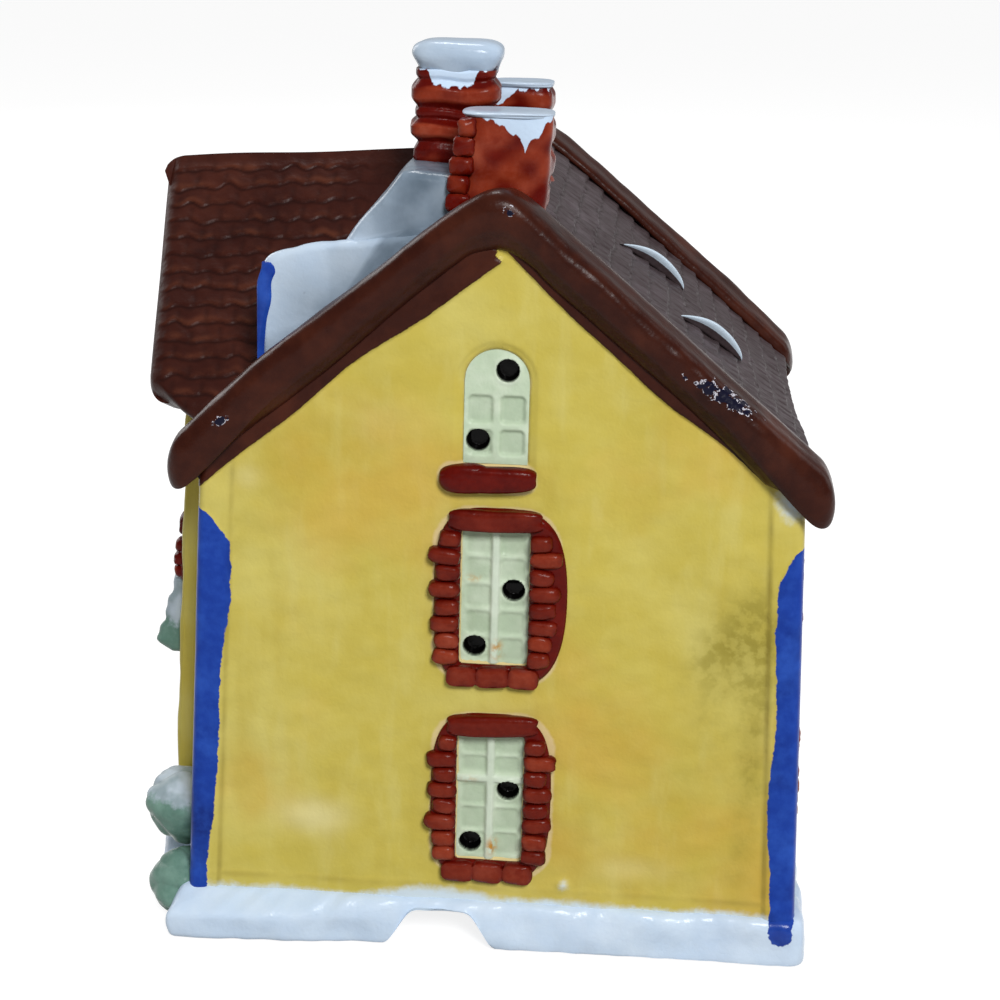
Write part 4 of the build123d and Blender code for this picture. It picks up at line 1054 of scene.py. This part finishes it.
def verge(face, seed, raised, longer):
    """A roll carried along the gable line: raised on its left side, drooping and blunt at its round ends."""
    section = cut_corners(verge_section, 3)
    x, taper = round_ends(verge_half_span + longer, 3.4, 201, 11, 0.0004)
    out = 0.5 + (section[None, :, 0] - 0.5) * taper
    skirt = np.minimum(section[None, :, 1] + 5.3, 0) * ease(49.0, 46.6, x) * ease(-50, -38, x)
    low = -3.4 + (np.maximum(section[None, :, 1], -5.3) + 3.4) * taper
    droop = ease(38, 54, np.abs(x))
    low = low + ease(-4, 0.5, out) * (raised * ease(3, -8, x) - 0.5 * ease(3, 14, x)) * (1 - 0.6 * droop)
    low = low * (1 + 0.45 * droop + 0.2 * ease(-16, -34, x) * (1 - droop)) + skirt * (1 - 0.5 * droop)
    crest = 2.4
    line = verge_top + 1.0 - slope * np.sqrt(x**2 + crest**2)
    turned = ease(2, 13, np.abs(x)) * (1 - 0.65 * droop)
    a = x + low * np.sign(x) * sin(roof_pitch) * turned
    b = line + low * (cos(roof_pitch) * turned + (1 - turned) / cos(roof_pitch))
    flat = np.stack([a, out, b], -1)
    swell = 0.22 * uneven(flat, 15, seed) + 0.08 * uneven(flat, 4.5, seed + 1)
    return closed_tube(on(face, a, b + swell * 0.7, out + swell * ease(-0.5, 1.0, out)))


def verge_marks(face):
    """Paint values of a verge: a strip of chips along the right roll, small ones at the crest and the left tip."""
    def chip(points):
        a, b, h = measured(face, points)
        spots = ((35.6, 102.4, 7.2, 1.5, -0.46), (0.8, 130.4, 1.5, 1.0, 0.0), (-45.6, 94.6, 2.0, 0.9, 0.5))
        near = []
        for x, z, length, width, turn in spots:
            along = (a - x) * cos(turn) + (b - z) * sin(turn)
            across = (b - z) * cos(turn) - (a - x) * sin(turn)
            near.append(1 - np.hypot(along / length, across / width))
        return 1.6 * np.max(near, axis=0) - 4 * ease(2.0, 0.8, h) - 0.4

    return {"chip": chip}


piece("verge_near", [verge(near_face, 170, 2.0, 2.0)], verge_finish, ["near_verge"],
      verge_marks(near_face))
piece("verge_far", [verge(far_face, 180, 0.6, 1.5)], verge_finish, ["far_verge"],
      {"chip": unpainted})


def wing_board():
    """A board under the wing's roof line: a round-edged strip carried along the front wall's gable."""
    a = np.linspace(-wing_half, wing_half, 121)[:, None]
    section = cut_corners([(-0.5, 0.0), (1.3, 0.0), (1.6, -0.6), (1.6, -5.4), (1.2, -6.0), (-0.5, -6.0)], 2)
    depth = 1 - 0.8 * ease(wing_half - 7, wing_half, np.abs(a))
    b = wing_line(a) + 0.8 + section[None, :, 1] * depth / cos(wing_pitch)
    return closed_tube(on(front_face, a + 0 * b, b, section[None, :, 0] + 0 * b))


piece("wing_board", [wing_board()], finish("board_glaze", brown, 0.2), ["wing_verge"])


def eyebrow(x, y):
    """A low arched hump on the right slope: rings along its turned chord, a parabola high, its brim white."""
    u = np.linspace(-1, 1, 61)[:, None]
    rise = 2.6 * (1 - u**2) ** np.where(u > 0, 0.6, 1.1)
    ring = cut_corners([(0.5, -0.2), (0.3, 0.5), (0.0, 0.8), (0.2, 1.05), (1.8, 1.0), (6.0, 0.2), (6.5, -0.2)], 3)
    back, high = ring.T[:, None, :]
    s = x / cos(roof_pitch) + u * 8.0 + 0 * back
    across = y + 2.2 + 5.4 * u - 1.2 * u**2 + back * (0.25 + 0.75 * (1 - u**2))
    crest = 0.5 * ease(0.15, 0.5, rise) * ease(0.5, 0.62, high) - ease(0.9, 1.5, back) - 0.25
    # Painted shade on the near face under the brim.
    shade = ease(0.6, 0.4, high) * ease(2.2, 1.4, back) - 0.5 + 0 * crest
    pad = np.full(len(ring), -2.0)
    return closed_tube(on_main_roof(1, s, across, 0.2 + high * rise)), {
        "snow": np.concatenate([pad, crest.ravel(), pad]),
        "shade": np.concatenate([pad, shade.ravel(), pad]),
        "joint": 0.0,
    }


for name, x, y in (("upper", 23.6, 55.0), ("lower", 34.4, 36.5)):
    shell, marks = eyebrow(x, y)
    piece(f"brow_{name}", [shell], crest_finish, [f"eyebrow_{name}"], marks)


# Chimneys, dormer and drift

def stack(x, y, foot, top, width, depth, courses, seed, plain, lean_over):
    """A chimney: squared circles that bulge at each course, less so on the near face, and lean over."""
    theta = np.linspace(0, 2 * pi, 120, endpoint=False)[None, :]
    z = np.linspace(foot, top, 121)[:, None]
    rim = squared(np.stack([np.cos(theta), np.sin(theta)], -1), 5) * [width / 2, depth / 2]
    share = (z - foot) / (top - foot) + 0.012 * np.cos(2 * theta + seed) + 0.008 * np.cos(5 * theta)
    bulge = 0 * share
    for middle_share, half_share, amount in courses:
        bulge = np.maximum(bulge, amount * ease(1.15, 0.25, np.abs(share - middle_share) / half_share))
    near = plain * ease(-0.2, 0.5, -np.sin(theta))
    bulge = 1.3 * (bulge * (1 - near) + 0.6 * near) - 1.45
    length = np.linalg.norm(rim, axis=-1)
    flat = np.concatenate([rim * (1 + bulge / length)[..., None], (z + 0 * theta)[..., None]], -1)
    flat[..., :2] *= (1 + 0.035 * uneven(flat, 8, seed))[..., None]
    flat[..., 0] += lean_over * (share - 0.5)
    return closed_tube(flat + [x, y, 0])


def snow_cap(x, y, foot, width, depth, height, lip, seed):
    """A pillow of snow on a chimney: fuller at the top, its lower edge narrower and hanging in drips."""
    around, along = 120, 41
    theta, ball = ball_ways(around, along)
    ball = squared(ball, 4.2)
    ball = ball * (1 + 0.025 * uneven(ball * 5 + seed, 6, seed))[..., None]
    waist = 1 - lip * ease(0.3, -1.0, ball[..., 2])
    drip = (0.5 * np.sin(3 * theta + seed) + 0.5 * np.sin(7 * theta + 2 * seed)) * ease(0.0, -0.9, ball[..., 2])
    middle = foot + height / 2
    points = np.stack([
        x + ball[..., 0] * waist * width / 2,
        y + ball[..., 1] * waist * depth / 2,
        middle + ball[..., 2] * height / 2 - drip * lip * 6,
    ], -1)
    return points.reshape(-1, 3), grid_quads(along, around, round_columns=True)


def drip_marks(tone, middle, line, seed):
    """Brick tone, lighter where courses stand out, and white on the near face down to a line of points."""
    def shade(points):
        x, y = np.abs(points[:, :2] - middle).T
        reach = ((x / x.max()) ** 5 + (y / y.max()) ** 5) ** 0.2
        return tone + 0.5 * ease(0.86, 0.97, reach) - 0.35 + 0.3 * uneven(points, 5.0, 400)

    def snow(points):
        x, y = points[:, 0] - middle[0], points[:, 1] - middle[1]
        edge = np.interp(x, [p for p, _ in line], [q for _, q in line])
        jag = 0.25 * np.sin(2.9 * x + seed) + 0.15 * np.sin(6.3 * x + 2 * seed)
        top = max(q for _, q in line) + 1.5
        return points[:, 2] - edge - (top - edge) * ease(-4.0, -1.0, y) - jag

    return {"tone": shade, "snow": snow}


even_courses = ((0.13, 0.12, 0.95), (0.38, 0.12, 0.85), (0.62, 0.12, 0.95), (0.87, 0.12, 0.85))
left_courses = (
    (0.05, 0.08, 0.4), (0.26, 0.11, 0.55), (0.468, 0.1, 1.0), (0.62, 0.05, 0.35), (0.787, 0.12, 1.0),
    (0.97, 0.06, 0.4),
)
front_line = (
    (-8.6, 144.4), (-4.3, 143.5), (-2.8, 143.1), (-0.5, 142.2), (0.7, 141.2), (2.3, 140.4), (3.0, 139.4),
    (3.5, 138.3), (4.0, 139.3), (4.4, 139.8), (5.9, 140.7), (6.7, 142.5), (8.6, 143.2),
)
left_line = (
    (-8, 150), (-4.6, 149.2), (-3.6, 147.2), (-1, 146.5), (2.4, 146.7), (3.2, 147.6), (4.2, 149.4), (8, 150),
)
rear_line = ((-6, 141.4), (-3, 142.2), (-1.2, 144.4), (6, 145.0))
front_body = stack(-1.5, 15.2, 122.0, 143.7, 16.2, 11.8, even_courses, 201, 0.9, 1.4)
left_body = stack(-10.9, 29.0, 130.5, 149.4, 15.4, 12.2, left_courses, 204, 0.0, 0.0)
rear_body = stack(-1.0, 50.4, 124.0, 145.4, 12.2, 11.6, even_courses, 207, 0.3, 0.0)
front_side = [
    lump(near_face, x, z, -9.9, half, 1.55, 1.6, turn, 4.6, 300 + int(z), 0.08)
    for x, z, half, turn in (
        (-7.3, 141.6, 1.5, 0.05), (-7.8, 138.6, 1.8, -0.06), (-8.1, 135.5, 2.0, 0.04),
        (-8.6, 132.5, 1.8, -0.05), (-8.6, 129.5, 2.0, 0.0),
    )
]
# The bricks on the front chimney's left side take a darker tone: painted shade on the side away from the light.
front_tone = np.repeat([1.05, 0.45], [len(front_body[0]), sum(len(p) for p, _ in front_side)])
for name, shells, marks in (
    ("front", [front_body, *front_side], drip_marks(front_tone, (-1.4, 14.8), front_line, 1.0)),
    ("left", [left_body], drip_marks(0.66, (-10.9, 29.0), left_line, 2.0)),
    ("rear", [rear_body], drip_marks(0.72, (-1.0, 50.4), rear_line, 3.0)),
):
    piece(f"stack_{name}", shells, brick_finish, [f"chimney_{name}"], marks)
# The snow caps get a fixed touch of painted shade, greyer than the base's snow.
for name, *form in (
    ("front", -1.0, 15.0, 143.1, 14.8, 11.0, 1.1, 0.0, 211),
    ("left", -10.7, 29.0, 147.9, 15.2, 12.0, 6.3, 0.17, 214),
    ("rear", -1.0, 50.3, 144.8, 11.2, 10.8, 1.1, 0.0, 217),
):
    piece(f"cap_{name}", [snow_cap(*form)], snow_finish, [f"{name}_cap"], {"shade": 0.35})


def snow_block(outline, near, far, edge, fall, crown, seed):
    """A heap carried from near to far: a rounded outline with a round near edge; its crown falls back."""
    section = cut_corners(outline, 3)
    centre = section.mean(0)
    size = np.linalg.norm(section - centre, axis=1).mean()
    turn = np.linspace(0, pi / 2, 9)
    y = np.concatenate([near + edge * (1 - np.cos(turn)), np.linspace(near + edge, far, 40)[1:]])[:, None]
    draw = np.clip(1 - (y - near) / edge, 0, 1)
    shrink = 1 - edge / size * (1 - np.sqrt(1 - draw**2))
    spot = centre + (section - centre)[None] * shrink[..., None]
    rings = np.stack([spot[..., 0], y + 0 * spot[..., 0], spot[..., 1]], -1)
    swell = 0.3 * uneven(rings, 14, seed) + 0.1 * uneven(rings, 4, seed + 1)
    away = (section - centre) / np.linalg.norm(section - centre, axis=1, keepdims=True)
    rings[..., 0] += swell * away[None, :, 0]
    rings[..., 2] += swell * away[None, :, 1]
    rings[..., 2] -= fall * np.maximum(y - near - edge, 0) * ease(crown - 12, crown, rings[..., 2])
    return closed_tube(rings)


def block_shade_and_smudges(points):
    """Painted grey shade, light all over, deep in the hollow by the chimneys and along the verge; dirty smudges at
    the foot.
    """
    x, y, z = points.T
    # Painted shade, deepest in the hollow above the crease by the chimneys.
    rise = z - 122.2 - 0.15 * (x + 28)
    hollow = ease(-0.4, 1.2, rise) * ease(-33, -14, x)
    low = 0.22 * ease(-30.4, -28.8, x + 0.5 * np.sin(0.8 * z)) + 0.2 * ease(-28, -14, x)
    low = low * ease(0.2, -1.2, rise)
    # Dirty smudges at the dormer's foot.
    smudge = 0.5 * bell(x, z, -35, 104.5, 2.4, 1.6) + 0.4 * bell(x, z, -31.5, 107.5, 2.0, 1.4)
    verge_line = 100.6 + 0.94 * (x + 40.2) + 0.7 * np.sin(0.9 * x) + 0.4 * np.sin(2.1 * x)
    # Painted shade in a band along the verge.
    beside = 0.45 * ease(5.2, 3.6, z - verge_line) * ease(24.0, 16.0, y)
    return np.clip(0.2 + 0.8 * hollow + low + smudge + beside, 0, 1)


dormer_outline = (
    (dormer_x, 86.0), (dormer_x, 100.0), (dormer_x, 115.4), (-40.8, 119.4), (-36.8, 121.0), (-30.0, 122.2),
    (-20.0, 123.4), (-6.0, 125.2), (-6.0, 104.0), (-30.0, 86.0),
)
drift_outline = (
    (-29.6, 119.0), (-28.0, 121.4), (-18.8, 133.4), (-17.4, 134.4), (-8.0, 133.6), (-2.0, 133.0), (-2.0, 116.0),
    (-28.0, 108.0),
)
piece("dormer", [snow_block(dormer_outline, 9.0, 38.0, 2.0, 0.28, 117.0, 221)], snow_finish,
      ["dormer_body"], {"shade": block_shade_and_smudges})
piece("drift", [snow_block(drift_outline, 10.4, 43.0, 2.0, 0.0, 134.0, 224)], snow_finish,
      ["snow_drift"], {"shade": block_shade_and_smudges})


def dormer_strip():
    """The blue stroke on the dormer's corner: a thin bent strip on its outer and near faces, tapering down."""
    b = np.linspace(99.4, 118.6, 61)[:, None]
    share = ease(101, 116.5, b) ** 1.2 * np.sqrt(np.clip((118.8 - b) / 2.0, 0.01, 1))
    wave = 0.3 * np.sin(b / 2.7) + 0.2 * np.sin(b / 1.1)
    side = 2.8 * share + 0.3 + wave * share
    face = 2.3 * share + 0.3 + wave * share
    lean_in = 0.9 * ease(113.4, 118.4, b) ** 2
    ring = np.array([(0, 1), (0.0, 0.5), (0.0, 0.12), (0.05, 0.05), (0.12, 0.0), (0.5, 0.0), (1, 0)])
    outer = np.stack([
        -41.75 + lean_in + face * ring[None, :, 0], 8.7 + side * ring[None, :, 1], b + 0 * ring[None, :, 0]
    ], -1)
    inner = outer[:, ::-1] + [0.7, 0.7, 0]
    return closed_tube(np.concatenate([outer, inner], axis=1))


piece("dormer_stroke", [dormer_strip()], blue_finish, ["dormer_trim"])


def dormer_light():
    """The dormer's blind pane: a low plate with a raised frame and cross bars."""
    half_a, half_b = 3.5, 4.5
    middle_y, middle_z = 15.5, 106.5
    a = np.linspace(-half_a, half_a, 41)[:, None]
    b = np.linspace(-half_b, half_b, 49)[None, :]
    edge = -beyond_box(a, b, half_a, half_b, 0.5)
    bar = np.maximum(ease(0.8, 0.4, np.abs(a)), ease(0.8, 0.4, np.abs(b)))
    h = 0.45 + 0.6 * np.maximum(bar, ease(1.1, 0.6, edge)) - 0.4 * ease(0.5, 0.0, edge)
    return plate(on(dormer_face, a - middle_y + 0 * b, b + middle_z + 0 * a, h), -1.2 * dormer_face.out)


piece("dormer_light", [dormer_light()], pane_finish, ["dormer_window"],
      {"hole": -1.0, "smudge": 0.0, "bar": 0.6})


# Base and bushes

notch_x, notch_half, notch_slope, notch_top = -8.4, 9.4, 7.0 / 4.0, 7.1


def snow_rim():
    """The base: a round-shouldered section carried round the plan between two paths, lifted over the notch."""
    corners = np.array([
        (-56.0, -2.5), (56.0, -2.5), (56.0, 101.1), (-56.0, 101.1),
        (-56.0, 81.8), (-63.2, 81.8), (-63.2, 16.8), (-56.0, 16.8),
    ])
    sides = np.roll(corners, -1, axis=0) - corners
    lengths = np.linalg.norm(sides, axis=1)
    marks = np.concatenate([[0], np.cumsum(lengths)])
    step = np.linspace(0, marks[-1], 900, endpoint=False)
    soft = np.exp(-((np.arange(-12, 13) / 5.0) ** 2))
    soft = soft / soft.sum()

    def path(points):
        closed = np.concatenate([points, points[:1]])
        line = np.stack([np.interp(step, marks, closed[:, i]) for i in (0, 1)], -1)
        return sum(w * np.roll(line, k, axis=0) for k, w in zip(range(-12, 13), soft))

    inset = 9.5
    way = sides / lengths[:, None]
    side_out = np.stack([way[:, 1], -way[:, 0]], -1)
    plan = path(corners)
    out = (plan - path(corners - inset * (side_out + np.roll(side_out, 1, axis=0)))) / inset
    section = cut_corners([
        (-0.2, 0.0), (0.0, 0.8), (-0.1, 3.0), (-0.2, 5.0), (-0.4, 7.0), (-1.2, 8.3), (-2.6, 8.6), (-4.0, 8.5),
        (-9.3, 8.45), (-9.5, 8.2), (-9.5, 4.0), (-9.5, 0.0), (-5.0, 0.0),
    ], 2)
    d, z = section[None, :, 0], section[None, :, 1]
    level = np.concatenate([plan, 0 * plan[:, :1]], 1)[:, None, :]
    solid = level + 0 * d[..., None] + np.array([0, 0, 1]) * z[..., None]
    swell = 0.45 * uneven(solid, 11, 231) + 0.15 * uneven(solid, 4, 232)
    left_front = ease(-10, -50, plan[:, 0]) * ease(2, -1, plan[:, 1])
    bulge = 3.0 * left_front[:, None] * ease(-57.5, -53.0, plan[:, :1])
    bulge = bulge * ease(-4, -1, d) * ease(8.2, 4.5, z) * ease(-3.2, 1.0, z)
    d = d + swell * ease(-3.5, -0.5, d) - 0.2 + bulge
    xy = plan[:, None, :] + out[:, None, :] * d[..., None]
    ramp = (notch_half - np.abs(xy[..., 0] - notch_x)) * notch_slope
    soft_foot, top_power = 0.8, 8.0
    rise = np.maximum(1e-3, soft_foot * np.log1p(np.exp(ramp / soft_foot)))
    notch = (rise**-top_power + notch_top**-top_power) ** (-1 / top_power)
    notch = np.where(xy[..., 1] < 12, notch, 0)
    top = z + 0.25 * swell * ease(6.5, 8.0, z) * ease(-3.0, -1.5, d)
    lifted = np.maximum(top, notch * ease(8.6, 8.0, z))
    return closed_ring(np.concatenate([xy, lifted[..., None]], -1))


def rim_blue(points):
    """Distance inside the round end of the right corner's stroke where it runs over the base."""
    x, y, z = points.T
    return np.minimum(2.1 - np.hypot(x - 51.1, 0.8 * np.minimum(z - 6.4, 0)), 2.5 - y)


piece("snow_rim", [snow_rim()], rim_finish, ["snow_base"], {"blue": rim_blue})


def bush(x, y, z, radius, spread, seed):
    """A lumpy bush: a ball swelled by two sizes of rounded waves, fuller above or below, flat on the table."""
    around, along = 96, 61
    ball = ball_ways(around, along)[1]
    lumps = 0.1 * np.abs(uneven(ball * 10, 13, seed)) + 0.035 * np.abs(uneven(ball * 10, 6, seed + 1))
    reach = ball * (radius * (0.87 + lumps))[..., None]
    reach[..., :2] *= 1 + spread * ball[..., 2:]
    points = np.array([x, y, z]) + reach
    points[..., 2] = np.maximum(points[..., 2], 0.4)
    return points.reshape(-1, 3), grid_quads(along, around, round_columns=True)


def bush_marks(line):
    """Snow lies on a bush above a line."""
    return {"snow": lambda points: points[:, 2] - line}


for name, x, y, z, radius, spread, line, seed in (
    ("tall", -56.4, 12.2, 17.2, 7.4, 0.2, 20.4, 241),
    ("low", -55.6, 5.8, 6.0, 6.6, -0.12, 14.6, 244),
    ("far", -56.4, 86.4, 17.2, 7.4, 0.2, 20.4, 247),
):
    piece(f"shrub_{name}", [bush(x, y, z, radius, spread, seed)], bush_finish, [f"bush_{name}"],
          bush_marks(line))


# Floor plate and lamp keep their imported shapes

for node, name, shades, scale, middle_rough, spread, bump, constants in (
    ("floor_plate", "bare_clay", ((226, 218, 204), (238, 232, 222), (204, 192, 174)), 70.0, 0.75, 0.1, 0.0003, {}),
    ("lamp_holder", "holder_plastic", ((236, 232, 220), (243, 240, 232), (222, 216, 200)), 50.0, 0.38, 0.08,
     0.0001, {}),
    ("lamp_clips", "spring_steel", ((176, 178, 182), (206, 208, 212), (140, 142, 148)), 400.0, 0.28, 0.15, 0.0001,
     {"Metallic": 1.0}),
    ("bulb_cap", "bulb_brass", ((196, 164, 92), (222, 196, 130), (150, 118, 58)), 300.0, 0.26, 0.15, 0.0001,
     {"Metallic": 1.0}),
    ("bulb_glass", "bulb_glass", ((250, 246, 236), (255, 252, 246), (240, 234, 220)), 60.0, 0.06, 0.03, 0.00005,
     {"Transmission_Weight": 1.0}),
    ("bulb_stem", "bulb_stem", ((214, 214, 210), (232, 232, 230), (180, 180, 176)), 300.0, 0.3, 0.1, 0.0001, {}),
):
    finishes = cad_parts[node].data.materials
    finishes.clear()
    finishes.append(finish(name, plain(tints(*shades), scale), middle_rough, spread, bump, **constants))


# Studio: floor, light and camera

def floor():
    """A pale floor: a wide plane that takes the shadow and shows white from above, and is clear from below."""
    span, sink, glow = 6.0, 0.0002, 0.84
    corners = [(-span, -span, -sink), (span, -span, -sink), (span, span, -sink), (-span, span, -sink)]
    mesh = bpy.data.meshes.new("studio_floor")
    mesh.from_pydata(corners, [], [(0, 1, 2, 3)])
    material = bpy.data.materials.new("studio_floor")
    material.use_nodes = True
    nodes = Nodes(material.node_tree)
    shader = material.node_tree.nodes["Principled BSDF"]
    shader.inputs["Base Color"].default_value = (0.32, 0.32, 0.32, 1)
    shader.inputs["Roughness"].default_value = 0.9
    shader.inputs["Specular IOR Level"].default_value = 0.1
    shader.inputs["Emission Color"].default_value = white
    seen = nodes.add("ShaderNodeLightPath").outputs
    mirrored = nodes.sum("MAXIMUM", seen["Is Glossy Ray"], seen["Is Transmission Ray"])
    shown = nodes.sum("MAXIMUM", seen["Is Camera Ray"], mirrored)
    nodes.put(nodes.times(shown, glow), shader.inputs["Emission Strength"])
    both = nodes.add("ShaderNodeMixShader", {
        0: nodes.add("ShaderNodeNewGeometry").outputs["Backfacing"],
        1: shader.outputs["BSDF"],
        2: nodes.add("ShaderNodeBsdfTransparent").outputs["BSDF"],
    })
    nodes.put(both.outputs["Shader"], nodes.tree.nodes["Material Output"].inputs["Surface"])
    mesh.materials.append(material)
    thing = bpy.data.objects.new("studio_floor", mesh)
    bpy.context.scene.collection.objects.link(thing)


floor()

world = bpy.data.worlds.new("studio")
bpy.context.scene.world = world
world.use_nodes = True
backdrop = world.node_tree.nodes["Background"]
backdrop.inputs["Color"].default_value = white
backdrop.inputs["Strength"].default_value = 0.32


def looking(place, target):
    """A matrix at a place whose -Z axis points at a target."""
    place, target = np.array(place, float), np.array(target, float)
    back = (place - target) / np.linalg.norm(place - target)
    across = np.cross((0, 0, 1.0), back)
    across /= np.linalg.norm(across)
    return place_axes(place, across, np.cross(back, across), back)


def place_axes(place, across, up, back):
    """A matrix from three axes and a place."""
    return Matrix([[*row, spot] for row, spot in zip(np.stack([across, up, back], 1), place)] + [[0, 0, 0, 1]])


aim = (0, 0, 0.07)
for name, place, size, power in (
    ("key", (0.3, -0.95, 0.75), 0.3, 11.5),
    ("top", (-0.1, 0.5, 1.1), 0.25, 3.5),
    ("back", (-0.75, 0.7, 0.5), 0.6, 3.4),
    ("right", (0.95, 0.3, 0.5), 0.6, 2.0),
):
    data = bpy.data.lights.new(name, "AREA")
    data.size = size
    data.energy = power
    lamp = bpy.data.objects.new(name, data)
    lamp.matrix_world = looking(place, aim)
    bpy.context.scene.collection.objects.link(lamp)

camera_place = np.array([25.693, -355.61, 177.269]) * 0.001
yaw, pitch, roll = 0.068, 0.3002, 0.026
forward = np.array([-sin(yaw) * cos(pitch), cos(yaw) * cos(pitch), -sin(pitch)])
across = np.array([cos(yaw), sin(yaw), 0.0])
up = np.cross(across, forward)
across, up = across * cos(roll) + up * sin(roll), up * cos(roll) - across * sin(roll)
camera = bpy.data.objects.new("camera", bpy.data.cameras.new("camera"))
camera.data.lens = 70.2
camera.data.sensor_width = 36.0
camera.data.clip_start = 0.01
camera.matrix_world = place_axes(camera_place, across, up, -forward)
bpy.context.scene.collection.objects.link(camera)
bpy.context.scene.camera = camera
bpy.context.scene.view_settings.view_transform = "Standard"
